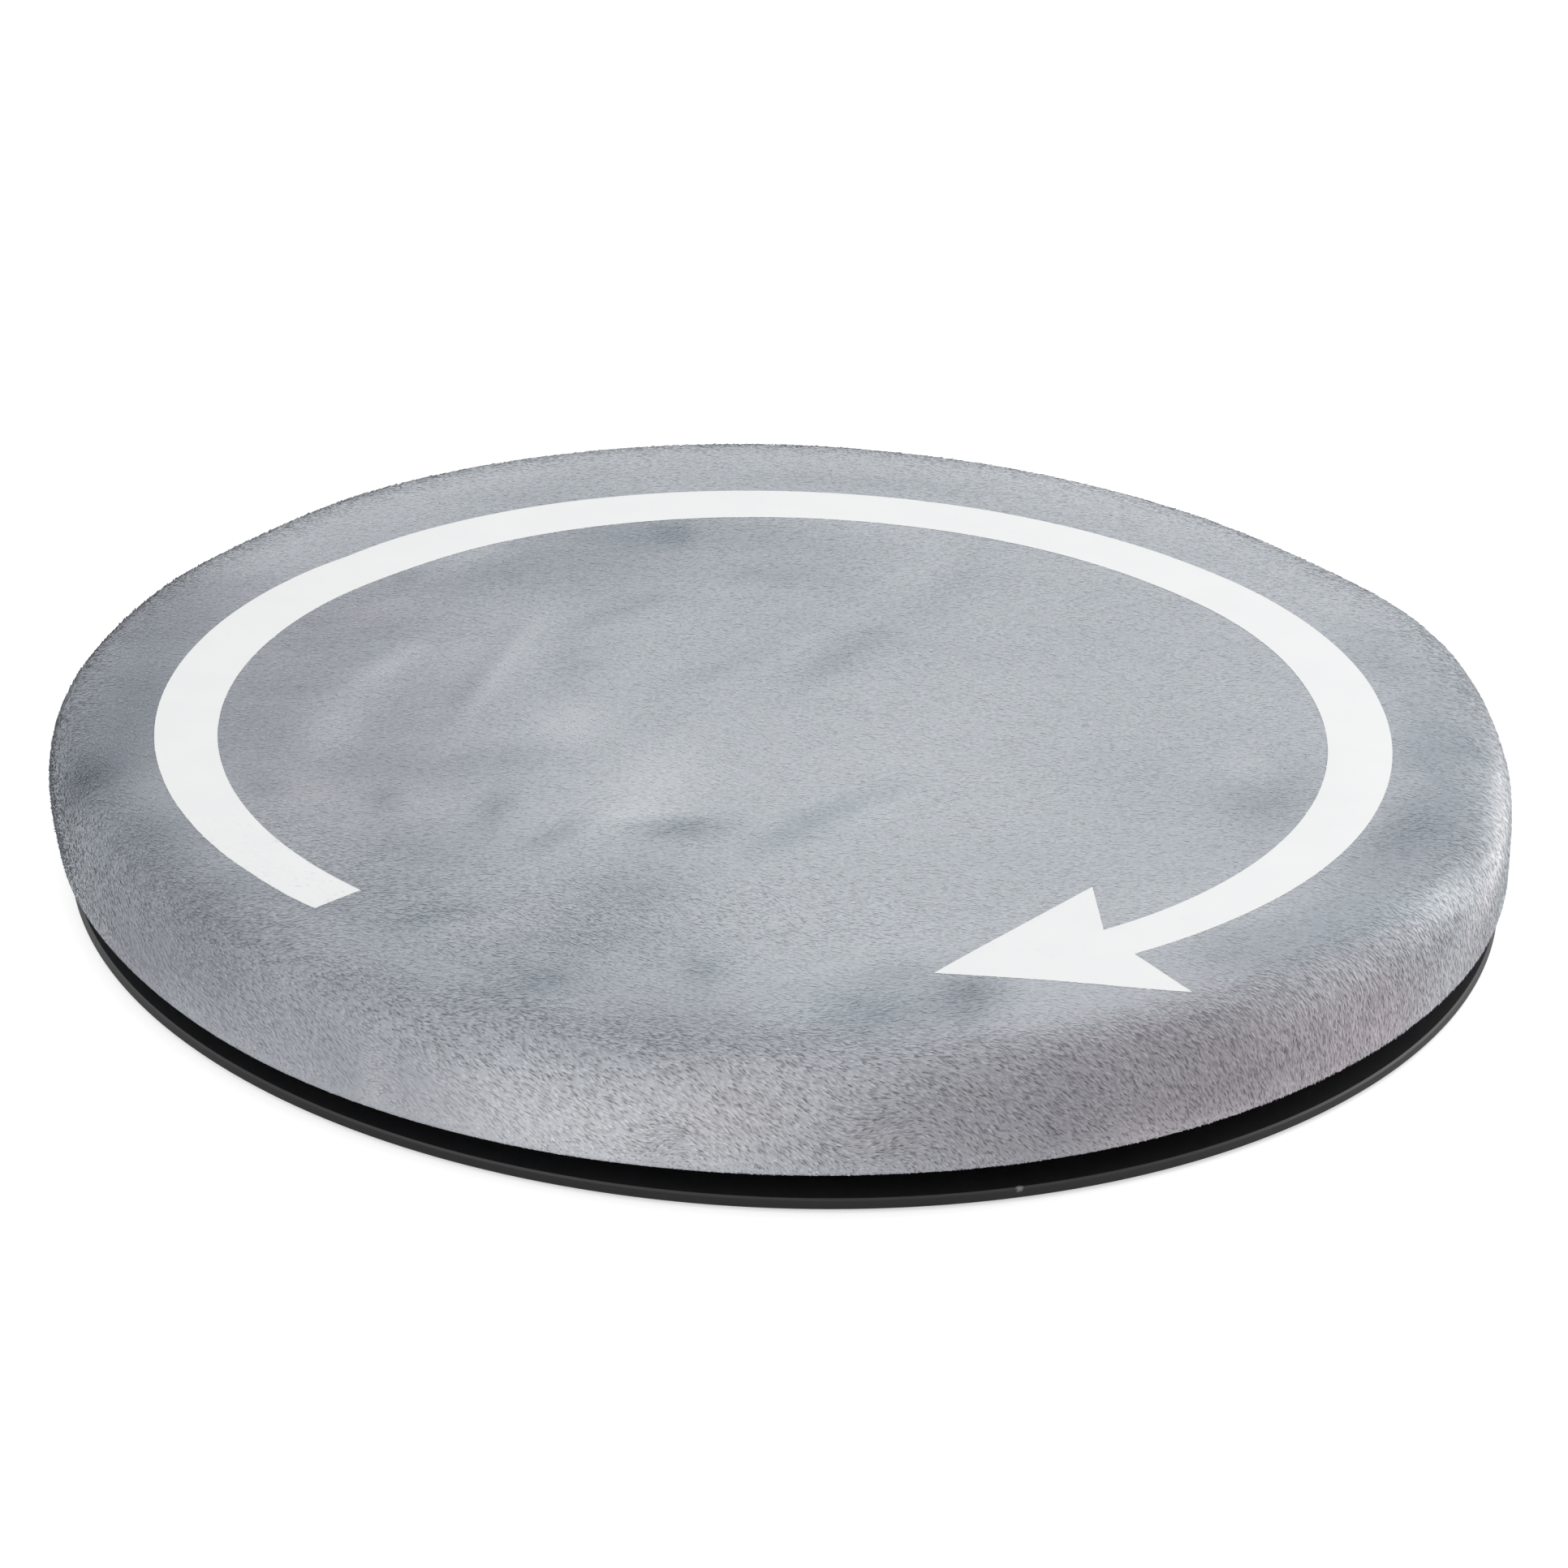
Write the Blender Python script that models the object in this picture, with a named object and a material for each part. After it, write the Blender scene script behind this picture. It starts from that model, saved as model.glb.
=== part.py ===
"""Round swivel seat cushion: a plush-covered foam disc that turns on a flat ball-bearing base.

Metres, +Z up. The origin is the centre of the footprint, on the surface that the cushion stands on.
The person sitting down faces -Y.
"""

from math import acos, cos, pi, radians, sin

import bmesh
import bpy
from mathutils import Matrix, Vector

# Clearance between pieces that touch, and the sides of every large round piece
GAP = 0.0003
ROUND_SIDES = 56
SMALL_SIDES = 20

# Cushion: a foam disc in a plush cover
CUSHION_RADIUS = 0.200
CUSHION_THICKNESS = 0.0318
CROWN_RISE = 0.0026
SHOULDER_ROUND = 0.012
SHOULDER_PULL_IN = 0.0005
HEM_ROUND = 0.003
HEM_PULL_IN = 0.001
HEM_REACH = 0.034
COVER_THICKNESS = 0.002
WIDEST_RISE = 0.0143
BASE_FOAM_THICKNESS = 0.0128
FOAM_BORE = 0.014
ELASTIC_WIDTH = 0.008
ELASTIC_THICKNESS = 0.0012

# Base: a moulded disc on rubber grip pads, its rim set in a little from the cushion's side
BASE_INSET = 0.0035
BASE_THICKNESS = 0.0031
EDGE_CHAMFER = 0.0005
PAD_COUNT = 8
PAD_INSET = 0.0365
PAD_RADIUS = 0.012
PAD_STAND = 0.001
PAD_SINK = 0.0009
PAD_CHAMFER = 0.0004

# Turntable: a top disc on a ring of balls
TOP_THICKNESS = 0.003
TOP_CHAMFER = 0.0008
BALL_COUNT = 16
BALL_RADIUS = 0.004
TRACK_RADIUS = 0.125
TRACK_FLOOR = 0.0024
TRACK_ROOF_DROP = 0.0019
GROOVE_MARGIN = 0.0006
RAIL_WIDTH = 0.003
RETAINER_THICKNESS = 0.0016
RETAINER_MARGIN = 0.0065
RETAINER_CLEARANCE = 0.0007
BALL_HOLE_CLEARANCE = 0.0004

# Centre pivot: a bolt that holds the two discs together
BOLT_RADIUS = 0.003
BOLT_HEAD_RADIUS = 0.008
BOLT_HEAD_THICKNESS = 0.0018
BOLT_CHAMFER = 0.0006
BOLT_TIP = 0.001
BOSS_WALL = 0.0087
THRUST_THICKNESS = 0.0015
BUSH_WALL = 0.0016
BUSH_FLANGE_RADIUS = 0.009
BUSH_FLANGE_THICKNESS = 0.0012
WASHER_THICKNESS = 0.0012
NUT_ACROSS_FLATS = 0.010
NUT_THICKNESS = 0.005

# Printed arrow: an open ring, slightly oval, that ends in an arrowhead
ARROW_CENTRE = Vector((-0.003, -0.009))
ARROW_LONG_RADIUS = 0.1604
ARROW_SHORT_RADIUS = 0.1511
ARROW_TURN = radians(18)
ARROW_WIDTH = 0.0178
ARROW_NECK = radians(-73.7)
ARROW_TAIL = radians(209.9)
ARROW_STEPS = 40
HEAD_LENGTH = 0.0508
HEAD_HALF_WIDTH = 0.0276
HEAD_BARB_BACK = 0.0073
HEAD_TURN = radians(8.5)
PRINT_THICKNESS = 0.0004

# Heights and radii that follow from the sizes above, from the ground up
BASE_RADIUS = CUSHION_RADIUS - BASE_INSET
PAD_CIRCLE = BASE_RADIUS - PAD_INSET
BASE_BOTTOM = PAD_STAND
BASE_TOP = BASE_BOTTOM + BASE_THICKNESS
BALL_HEIGHT = BASE_BOTTOM + TRACK_FLOOR + GAP + BALL_RADIUS
TRACK_ROOF = BALL_HEIGHT + BALL_RADIUS + GAP
TOP_BOTTOM = TRACK_ROOF + TRACK_ROOF_DROP
TOP_TOP = TOP_BOTTOM + TOP_THICKNESS
RAIL_GAP = RETAINER_THICKNESS / 2 + RETAINER_CLEARANCE
HEM_TOP = TOP_BOTTOM - GAP
COVER_BOTTOM = HEM_TOP - COVER_THICKNESS
WIDEST_HEIGHT = COVER_BOTTOM + WIDEST_RISE
SHOULDER_HEIGHT = COVER_BOTTOM + CUSHION_THICKNESS
SHOULDER_CENTRE = CUSHION_RADIUS - SHOULDER_PULL_IN - SHOULDER_ROUND
FOAM_BOTTOM = TOP_TOP + GAP
FOAM_SPLIT = FOAM_BOTTOM + BASE_FOAM_THICKNESS
SHAFT_HOLE = BOLT_RADIUS + GAP
BOSS_RADIUS = SHAFT_HOLE + BOSS_WALL
BOSS_TOP = TOP_BOTTOM - GAP - THRUST_THICKNESS - GAP
WASHER_BOTTOM = TOP_TOP + GAP + BUSH_FLANGE_THICKNESS + GAP
NUT_BOTTOM = WASHER_BOTTOM + WASHER_THICKNESS + GAP


def material(name, colour, roughness, metallic=0.0):
    """A Principled material from an sRGB colour written as six hex digits."""
    made = bpy.data.materials.new(name)
    made.use_nodes = True
    shader = made.node_tree.nodes["Principled BSDF"]
    channels = [int(colour[i : i + 2], 16) / 255 for i in (0, 2, 4)]
    linear = [c / 12.92 if c <= 0.04045 else ((c + 0.055) / 1.055) ** 2.4 for c in channels]
    shader.inputs["Base Color"].default_value = (*linear, 1)
    shader.inputs["Roughness"].default_value = roughness
    shader.inputs["Metallic"].default_value = metallic
    made.diffuse_color = (*linear, 1)
    return made


def pivot(name, height):
    """An empty on the vertical axis that the pieces of one moving group are parented to."""
    empty = bpy.data.objects.new(name, None)
    empty.location = (0, 0, height)
    bpy.context.scene.collection.objects.link(empty)
    return empty


def piece(name, mesh, finish, parent):
    """One sub-part as an object, its mesh already in world space, carried by its group's empty."""
    made = bpy.data.objects.new(name, mesh)
    if not mesh.materials:
        mesh.materials.append(finish)
    bpy.context.scene.collection.objects.link(made)
    made.parent = parent
    made.matrix_parent_inverse = Matrix.Translation(parent.location).inverted()
    return made


def to_mesh(name, shape, sharp=radians(30)):
    """The finished mesh of a bmesh: welded, facing out, and smooth but for its real edges."""
    bmesh.ops.remove_doubles(shape, verts=shape.verts, dist=1e-6)
    bmesh.ops.recalc_face_normals(shape, faces=shape.faces)
    mesh = bpy.data.meshes.new(name)
    shape.to_mesh(mesh)
    shape.free()
    mesh.shade_smooth()
    mesh.set_sharp_from_angle(angle=sharp)
    return mesh


def turned(name, profile, sides=ROUND_SIDES, centre=(0, 0)):
    """A solid of revolution about a vertical axis. A profile of (radius, height) points that starts and
    ends on the axis stays open there; any other profile is closed into a ring."""
    shape = bmesh.new()
    points = [shape.verts.new((radius, 0, height)) for radius, height in profile]
    on_axis = profile[0][0] == 0 and profile[-1][0] == 0
    pairs = list(zip(points, points[1:]))
    if not on_axis:
        pairs.append((points[-1], points[0]))
    line = points + [shape.edges.new(pair) for pair in pairs]
    bmesh.ops.spin(
        shape, geom=line, cent=(0, 0, 0), axis=(0, 0, 1), angle=2 * pi, steps=sides, use_merge=True
    )
    bmesh.ops.translate(shape, verts=shape.verts, vec=(*centre, 0))
    return to_mesh(name, shape)


def around(count, radius):
    """Evenly spaced places on a circle, each as (angle, x, y)."""
    step = 2 * pi / count
    return [(k * step, radius * cos(k * step), radius * sin(k * step)) for k in range(count)]


def cut(target, name, radius, low, high, places, sides=SMALL_SIDES):
    """Cuts a round vertical hole or recess in the target at each place, with one hidden cutter object."""
    shape = bmesh.new()
    for _, x, y in places:
        made = bmesh.ops.create_cone(
            shape, cap_ends=True, segments=sides, radius1=radius, radius2=radius, depth=high - low
        )
        bmesh.ops.translate(shape, verts=made["verts"], vec=(x, y, (low + high) / 2))
    cutter = bpy.data.objects.new(name, to_mesh(name, shape))
    bpy.context.scene.collection.objects.link(cutter)
    cutter.hide_render = True
    cutter.display_type = "WIRE"
    boolean = target.modifiers.new(name, "BOOLEAN")
    boolean.operation = "DIFFERENCE"
    boolean.object = cutter


def ring_section(inner, outer, low, high):
    """A plain rectangular section between two radii."""
    return [(inner, low), (outer, low), (outer, high), (inner, high)]


def track_groove(side):
    """The ball track's groove from its outer lip to its inner one. side is -1 for the lower track and 1
    for the upper. The groove is a little wider than the balls and touches them only at its bottom."""
    groove = BALL_RADIUS + GROOVE_MARGIN
    offset = GROOVE_MARGIN - GAP
    half_angle = acos((RAIL_GAP + offset) / groove)
    centre = BALL_HEIGHT - side * offset
    steps = 4
    angles = [half_angle * (1 - 2 * k / steps) for k in range(steps + 1)]
    return [(TRACK_RADIUS + groove * sin(a), centre + side * groove * cos(a)) for a in angles]


def rails(side, web):
    """A raised rail, the groove and the other rail, from the outside in, standing on a web's face."""
    groove = track_groove(side)
    outer, inner = groove[0][0] + RAIL_WIDTH, groove[-1][0] - RAIL_WIDTH
    lip = groove[0][1]
    return [(outer, web), (outer, lip), *groove, (inner, lip), (inner, web)]


def side_radius(height, inset):
    """Radius of the cushion's side at a height, for a surface lying inset under the plush."""
    bottom, shoulder = COVER_BOTTOM + HEM_ROUND, SHOULDER_HEIGHT - SHOULDER_ROUND
    if height < WIDEST_HEIGHT:
        along = min(1.0, (WIDEST_HEIGHT - height) / (WIDEST_HEIGHT - bottom))
        return CUSHION_RADIUS - HEM_PULL_IN * along - inset
    along = min(1.0, (height - WIDEST_HEIGHT) / max(shoulder - WIDEST_HEIGHT, GAP))
    return CUSHION_RADIUS - SHOULDER_PULL_IN * along - inset


def crown_height(radius):
    """Height of the plush top at a distance from the axis, inside the shoulder."""
    return SHOULDER_HEIGHT + CROWN_RISE * (1 - min(radius / SHOULDER_CENTRE, 1.0) ** 2)


def shoulder_and_crown(inset, shoulder_steps, crown_steps):
    """From the top of the side over the rounded shoulder and up the crown to the axis."""
    base, radius = SHOULDER_HEIGHT - SHOULDER_ROUND, SHOULDER_ROUND - inset
    turns = [pi / 2 * k / shoulder_steps for k in range(shoulder_steps + 1)]
    line = [(SHOULDER_CENTRE + radius * cos(t), base + radius * sin(t)) for t in turns]
    radii = [SHOULDER_CENTRE * (1 - k / crown_steps) for k in range(1, crown_steps + 1)]
    return line + [(r, crown_height(r) - inset) for r in radii]


def cover_section():
    """The plush shell's wall, from the axis under the crown, down the inside, round the hem's free edge
    under the top disc, and back up the outside to the axis."""
    hem_edge = CUSHION_RADIUS - HEM_REACH
    corner = COVER_BOTTOM + HEM_ROUND
    round_centre = side_radius(corner, 0) - HEM_ROUND
    diagonal = HEM_ROUND * cos(pi / 4)
    return [
        *reversed(shoulder_and_crown(COVER_THICKNESS, 2, 2)),
        (CUSHION_RADIUS - COVER_THICKNESS, WIDEST_HEIGHT),
        (side_radius(HEM_TOP, COVER_THICKNESS), HEM_TOP),
        (hem_edge, HEM_TOP),
        (hem_edge, COVER_BOTTOM),
        (round_centre, COVER_BOTTOM),
        (round_centre + diagonal, corner - diagonal),
        (side_radius(corner, 0), corner),
        (CUSHION_RADIUS, WIDEST_HEIGHT),
        *shoulder_and_crown(0, 3, 3),
    ]


def base_foam_section():
    """The firm lower layer, with a bore that clears the pivot nut."""
    inset = COVER_THICKNESS + GAP
    return [
        (FOAM_BORE, FOAM_BOTTOM),
        (side_radius(FOAM_BOTTOM, inset), FOAM_BOTTOM),
        (CUSHION_RADIUS - inset, WIDEST_HEIGHT),
        (side_radius(FOAM_SPLIT, inset), FOAM_SPLIT),
        (FOAM_BORE, FOAM_SPLIT),
    ]


def comfort_foam_section():
    """The soft upper layer, which gives the cushion its shoulder and crown."""
    inset = COVER_THICKNESS + GAP
    bottom = FOAM_SPLIT + GAP
    return [(0.0, bottom), (side_radius(bottom, inset), bottom), *shoulder_and_crown(inset, 2, 2)]


def base_section():
    """The base disc's wall section, from the pivot bore outwards along the underside and back on top."""
    head_roof = BASE_BOTTOM + GAP + BOLT_HEAD_THICKNESS + GAP
    head_wall = BOLT_HEAD_RADIUS + 2 * GAP
    return [
        (SHAFT_HOLE, head_roof),
        (head_wall, head_roof),
        (head_wall, BASE_BOTTOM),
        (BASE_RADIUS - EDGE_CHAMFER, BASE_BOTTOM),
        (BASE_RADIUS, BASE_BOTTOM + EDGE_CHAMFER),
        (BASE_RADIUS, BASE_TOP - EDGE_CHAMFER),
        (BASE_RADIUS - EDGE_CHAMFER, BASE_TOP),
        *rails(-1, BASE_TOP),
        (BOSS_RADIUS, BASE_TOP),
        (BOSS_RADIUS, BOSS_TOP),
        (SHAFT_HOLE, BOSS_TOP),
    ]


def top_section():
    """The top disc's wall section. Its rim fits inside the cover and holds the hem's lower edge round."""
    bore = SHAFT_HOLE + BUSH_WALL + GAP
    rim = side_radius(TOP_BOTTOM, COVER_THICKNESS + GAP)
    return [
        (bore, TOP_TOP),
        (rim - TOP_CHAMFER, TOP_TOP),
        (rim, TOP_TOP - TOP_CHAMFER),
        (rim, TOP_BOTTOM + TOP_CHAMFER),
        (rim - TOP_CHAMFER, TOP_BOTTOM),
        *rails(1, TOP_BOTTOM),
        (bore, TOP_BOTTOM),
    ]


def pad_section():
    """A grip pad with softened lower edge."""
    return [
        (0.0, 0.0),
        (PAD_RADIUS - PAD_CHAMFER, 0.0),
        (PAD_RADIUS, PAD_CHAMFER),
        (PAD_RADIUS, PAD_STAND + PAD_SINK - GAP),
        (0.0, PAD_STAND + PAD_SINK - GAP),
    ]


def bolt_section():
    """Flat-headed bolt, head down, with a chamfered tip above the nut."""
    head = BASE_BOTTOM + GAP
    tip = NUT_BOTTOM + NUT_THICKNESS + BOLT_TIP
    return [
        (0.0, head),
        (BOLT_HEAD_RADIUS - BOLT_CHAMFER, head),
        (BOLT_HEAD_RADIUS, head + BOLT_CHAMFER),
        (BOLT_HEAD_RADIUS, head + BOLT_HEAD_THICKNESS),
        (BOLT_RADIUS, head + BOLT_HEAD_THICKNESS),
        (BOLT_RADIUS, tip - BOLT_CHAMFER),
        (BOLT_RADIUS - BOLT_CHAMFER, tip),
        (0.0, tip),
    ]


def bush_section():
    """Flanged bush: its sleeve lines the top disc's bore and its flange lies on the disc."""
    sleeve = SHAFT_HOLE + BUSH_WALL
    flange = TOP_TOP + GAP
    return [
        (SHAFT_HOLE, TOP_BOTTOM),
        (sleeve, TOP_BOTTOM),
        (sleeve, flange),
        (BUSH_FLANGE_RADIUS, flange),
        (BUSH_FLANGE_RADIUS, flange + BUSH_FLANGE_THICKNESS),
        (SHAFT_HOLE, flange + BUSH_FLANGE_THICKNESS),
    ]


def ball_mesh():
    """A ball about its own centre, for every ball of the ring to share."""
    shape = bmesh.new()
    bmesh.ops.create_uvsphere(shape, u_segments=10, v_segments=8, radius=BALL_RADIUS)
    return to_mesh("ball", shape, sharp=pi)


def nut_mesh():
    """Hexagonal blank of the lock nut, before its bore is cut."""
    shape = bmesh.new()
    corner = NUT_ACROSS_FLATS / 2 / cos(pi / 6)
    bmesh.ops.create_cone(
        shape, cap_ends=True, segments=6, radius1=corner, radius2=corner, depth=NUT_THICKNESS
    )
    bmesh.ops.translate(shape, verts=shape.verts, vec=(0, 0, NUT_BOTTOM + NUT_THICKNESS / 2))
    return to_mesh("lock_nut", shape)


def arrow_line(t):
    """A point of the arrow's centre line and the unit vector pointing out of the oval there."""
    turn = Matrix.Rotation(ARROW_TURN, 2)
    place = turn @ Vector((ARROW_LONG_RADIUS * cos(t), ARROW_SHORT_RADIUS * sin(t))) + ARROW_CENTRE
    outward = turn @ Vector((ARROW_SHORT_RADIUS * cos(t), ARROW_LONG_RADIUS * sin(t)))
    return place, outward.normalized()


def arrow_mesh():
    """The printed band and its barbed head, as one thin film that follows the crown."""
    shape = bmesh.new()

    def corner(flat):
        return shape.verts.new((flat.x, flat.y, crown_height(flat.length) + GAP))

    previous = neck = None
    for k in range(ARROW_STEPS + 1):
        place, outward = arrow_line(ARROW_NECK + (ARROW_TAIL - ARROW_NECK) * k / ARROW_STEPS)
        pair = corner(place - outward * ARROW_WIDTH / 2), corner(place + outward * ARROW_WIDTH / 2)
        if previous:
            shape.faces.new((previous[0], previous[1], pair[1], pair[0]))
        else:
            neck = pair
        previous = pair
    place, outward = arrow_line(ARROW_NECK)
    across = Matrix.Rotation(-HEAD_TURN, 2) @ outward
    ahead = Vector((across.y, -across.x))
    tip = corner(place + ahead * HEAD_LENGTH)
    barbs = [corner(place - ahead * HEAD_BARB_BACK + across * side * HEAD_HALF_WIDTH) for side in (-1, 1)]
    for points in ((neck[0], barbs[0], tip), (neck[1], neck[0], tip), (barbs[1], neck[1], tip)):
        shape.faces.new(points)
    raised = bmesh.ops.extrude_face_region(shape, geom=shape.faces[:])["geom"]
    lifted = [part for part in raised if isinstance(part, bmesh.types.BMVert)]
    bmesh.ops.translate(shape, verts=lifted, vec=(0, 0, PRINT_THICKNESS))
    return to_mesh("arrow_print", shape)


def make_base(carrier):
    """The disc that stays put: its grip pads and everything clamped by the pivot bolt."""
    plastic = material("black_abs", "1B1B1D", 0.42)
    rubber = material("grip_rubber", "141414", 0.85)
    steel = material("zinc_steel", "B9BBBC", 0.35, 1.0)
    nylon = material("natural_nylon", "E4E0D4", 0.5)

    base = piece("base_plate", turned("base_plate", base_section()), plastic, carrier)
    pads = around(PAD_COUNT, PAD_CIRCLE)
    cut(base, "pad_recesses", PAD_RADIUS + GAP, BASE_BOTTOM - PAD_STAND, BASE_BOTTOM + PAD_SINK, pads)
    for k, (_, x, y) in enumerate(pads, 1):
        pad = turned(f"grip_pad_{k}", pad_section(), SMALL_SIDES, (x, y))
        piece(f"grip_pad_{k}", pad, rubber, carrier)

    piece("pivot_bolt", turned("pivot_bolt", bolt_section(), SMALL_SIDES), steel, carrier)
    thrust = ring_section(SHAFT_HOLE, BOSS_RADIUS, BOSS_TOP + GAP, TOP_BOTTOM - GAP)
    piece("thrust_washer", turned("thrust_washer", thrust, SMALL_SIDES), nylon, carrier)
    washer = ring_section(SHAFT_HOLE, BUSH_FLANGE_RADIUS, WASHER_BOTTOM, WASHER_BOTTOM + WASHER_THICKNESS)
    piece("pivot_washer", turned("pivot_washer", washer, SMALL_SIDES), steel, carrier)
    nut = piece("lock_nut", nut_mesh(), steel, carrier)
    cut(nut, "nut_bore", SHAFT_HOLE, NUT_BOTTOM - GAP, NUT_BOTTOM + NUT_THICKNESS + GAP, [(0, 0, 0)])


def make_ball_ring(carrier):
    """The balls and the disc that keeps them apart, which turns at half the top's speed."""
    nylon = material("grey_nylon", "8E9194", 0.5)
    steel = material("bearing_steel", "D5D7D8", 0.15, 1.0)
    places = around(BALL_COUNT, TRACK_RADIUS)
    section = ring_section(
        BOSS_RADIUS + GAP,
        TRACK_RADIUS + RETAINER_MARGIN,
        BALL_HEIGHT - RETAINER_THICKNESS / 2,
        BALL_HEIGHT + RETAINER_THICKNESS / 2,
    )
    retainer = piece("ball_retainer", turned("ball_retainer", section), nylon, carrier)
    hole = BALL_RADIUS + BALL_HOLE_CLEARANCE
    low, high = BALL_HEIGHT - BALL_RADIUS, BALL_HEIGHT + BALL_RADIUS
    cut(retainer, "ball_holes", hole, low, high, places, sides=12)
    shared = ball_mesh()
    shared.materials.append(steel)
    for k, (angle, x, y) in enumerate(places, 1):
        ball = bpy.data.objects.new(f"ball_{k:02d}", shared)
        ball.rotation_euler.z = angle
        ball.location = (x, y, BALL_HEIGHT - carrier.location.z)
        ball.parent = carrier
        bpy.context.scene.collection.objects.link(ball)


def make_top(carrier):
    """Everything that turns with the person: the top disc, its bush, the foam and the cover."""
    plastic = material("black_pp", "161617", 0.5)
    nylon = material("white_nylon", "E9E7DF", 0.45)
    firm = material("firm_foam", "C9CBCD", 0.95)
    soft = material("memory_foam", "EFE7C9", 0.95)
    plush = material("grey_plush", "A3A8AE", 0.9)
    elastic = material("black_elastic", "202124", 0.85)
    ink = material("white_print", "F2F3F4", 0.6)

    piece("top_plate", turned("top_plate", top_section()), plastic, carrier)
    piece("pivot_bush", turned("pivot_bush", bush_section(), SMALL_SIDES), nylon, carrier)
    piece("base_foam", turned("base_foam", base_foam_section()), firm, carrier)
    piece("comfort_foam", turned("comfort_foam", comfort_foam_section()), soft, carrier)
    piece("cover", turned("cover", cover_section()), plush, carrier)
    band_outer = CUSHION_RADIUS - HEM_REACH - GAP
    band_low = COVER_BOTTOM + (COVER_THICKNESS - ELASTIC_THICKNESS) / 2
    band = ring_section(band_outer - ELASTIC_WIDTH, band_outer, band_low, band_low + ELASTIC_THICKNESS)
    piece("hem_elastic", turned("hem_elastic", band), elastic, carrier)
    piece("arrow_print", arrow_mesh(), ink, carrier)


for leftover in list(bpy.data.objects):
    bpy.data.objects.remove(leftover, do_unlink=True)

make_base(pivot("base", 0.0))
make_ball_ring(pivot("ball_ring_axis", BALL_HEIGHT))
make_top(pivot("top_swivel_axis", TOP_BOTTOM))
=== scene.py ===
from math import atan2, ceil, cos, degrees, hypot, pi, radians, sin, sqrt

import bmesh
import bpy
import numpy as np
from mathutils import Matrix, Vector


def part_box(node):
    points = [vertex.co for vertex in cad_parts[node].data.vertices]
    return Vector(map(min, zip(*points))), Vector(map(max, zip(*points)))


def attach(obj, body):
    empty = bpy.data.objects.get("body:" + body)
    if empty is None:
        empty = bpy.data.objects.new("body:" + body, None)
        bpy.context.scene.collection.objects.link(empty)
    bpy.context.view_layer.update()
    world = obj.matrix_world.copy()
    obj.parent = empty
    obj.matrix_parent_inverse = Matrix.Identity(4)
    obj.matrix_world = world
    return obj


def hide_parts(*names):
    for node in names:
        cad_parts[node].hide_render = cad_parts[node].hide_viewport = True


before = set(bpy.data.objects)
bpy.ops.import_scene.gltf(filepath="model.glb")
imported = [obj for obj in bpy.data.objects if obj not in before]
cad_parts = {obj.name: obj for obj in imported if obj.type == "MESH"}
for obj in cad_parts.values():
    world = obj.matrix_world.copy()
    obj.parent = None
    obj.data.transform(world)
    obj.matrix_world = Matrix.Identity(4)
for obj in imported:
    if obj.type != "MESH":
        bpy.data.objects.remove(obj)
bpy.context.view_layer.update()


# Camera: a long lens a metre and a half off, at the photograph's height over the seat and with its slight tilt.
# The picture is 1932 px square, and the cushion's centre lies a little under the middle of it.
PICTURE = 1932
FOCAL_LENGTH = 6500
CENTRE_OFF = Vector((-1.52, 82.24))
CAMERA_DISTANCE = 1.46625
CAMERA_LEFT = 0.0008
CAMERA_HEIGHT_ANGLE = radians(26.757)
CAMERA_TILT = radians(2.096)
SENSOR_WIDTH = 36


def linked(name, data):
    """A new object with its data, in the scene."""
    made = bpy.data.objects.new(name, data)
    bpy.context.scene.collection.objects.link(made)
    return made


back = Vector((0, -cos(CAMERA_HEIGHT_ANGLE), sin(CAMERA_HEIGHT_ANGLE)))
level = Vector((1, 0, 0))
upright = back.cross(level)
across = level * cos(CAMERA_TILT) + upright * sin(CAMERA_TILT)
camera = linked("camera", bpy.data.cameras.new("camera"))
camera.matrix_world = Matrix((across, back.cross(across), back)).transposed().to_4x4()
camera.location = back * CAMERA_DISTANCE - level * CAMERA_LEFT
camera.data.sensor_width = SENSOR_WIDTH
camera.data.lens = SENSOR_WIDTH * FOCAL_LENGTH / PICTURE
camera.data.shift_x = -CENTRE_OFF.x / PICTURE
camera.data.shift_y = CENTRE_OFF.y / PICTURE
camera.data.clip_start = 0.01
bpy.context.scene.camera = camera
bpy.context.scene.view_settings.view_transform = "Standard"


# Studio: a white table that runs out of sight, an even pale room, a large soft lamp to the right, and a weaker
# one in front and to the left. The lens and mirrors see the room as white paper.
TABLE_WHITE, TABLE_REACH = "F2F2F2", 6
TABLE_GLOW = 0.55
ROOM_LIGHT = 0.72
KEY_PLACE, KEY_POWER, KEY_SIZE = (1.2, 0.5, 0.9), 7.0, 1.0
FILL_PLACE, FILL_POWER, FILL_SIZE = (-1.1, -1.3, 0.9), 6.0, 1.5


def colour(code):
    """An sRGB colour of six hex digits as the linear one that a shader takes."""
    channels = [int(code[i : i + 2], 16) / 255 for i in (0, 2, 4)]
    return (*[c / 12.92 if c <= 0.04045 else ((c + 0.055) / 1.055) ** 2.4 for c in channels], 1)


def add(tree, kind, settings={}, **inputs):
    """Adds a node with its settings, and gives each named input a value, or a link from a socket or from a
    node's first output. A number after the last underscore of a name, as in Value_1, is the input's place."""
    node = tree.nodes.new(kind)
    for name, value in settings.items():
        setattr(node, name, value)
    for name, value in inputs.items():
        place = name.rpartition("_")[2]
        socket = node.inputs[int(place)] if place.isdigit() else node.inputs[name.replace("_", " ")]
        if isinstance(value, bpy.types.Node):
            value = value.outputs[0]
        if isinstance(value, bpy.types.NodeSocket):
            tree.links.new(value, socket)
        else:
            socket.default_value = value
    return node


def bare_material(name):
    """A material with an empty node tree, and the tree."""
    made = bpy.data.materials.new(name)
    made.use_nodes = True
    made.node_tree.nodes.clear()
    return made, made.node_tree


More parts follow.
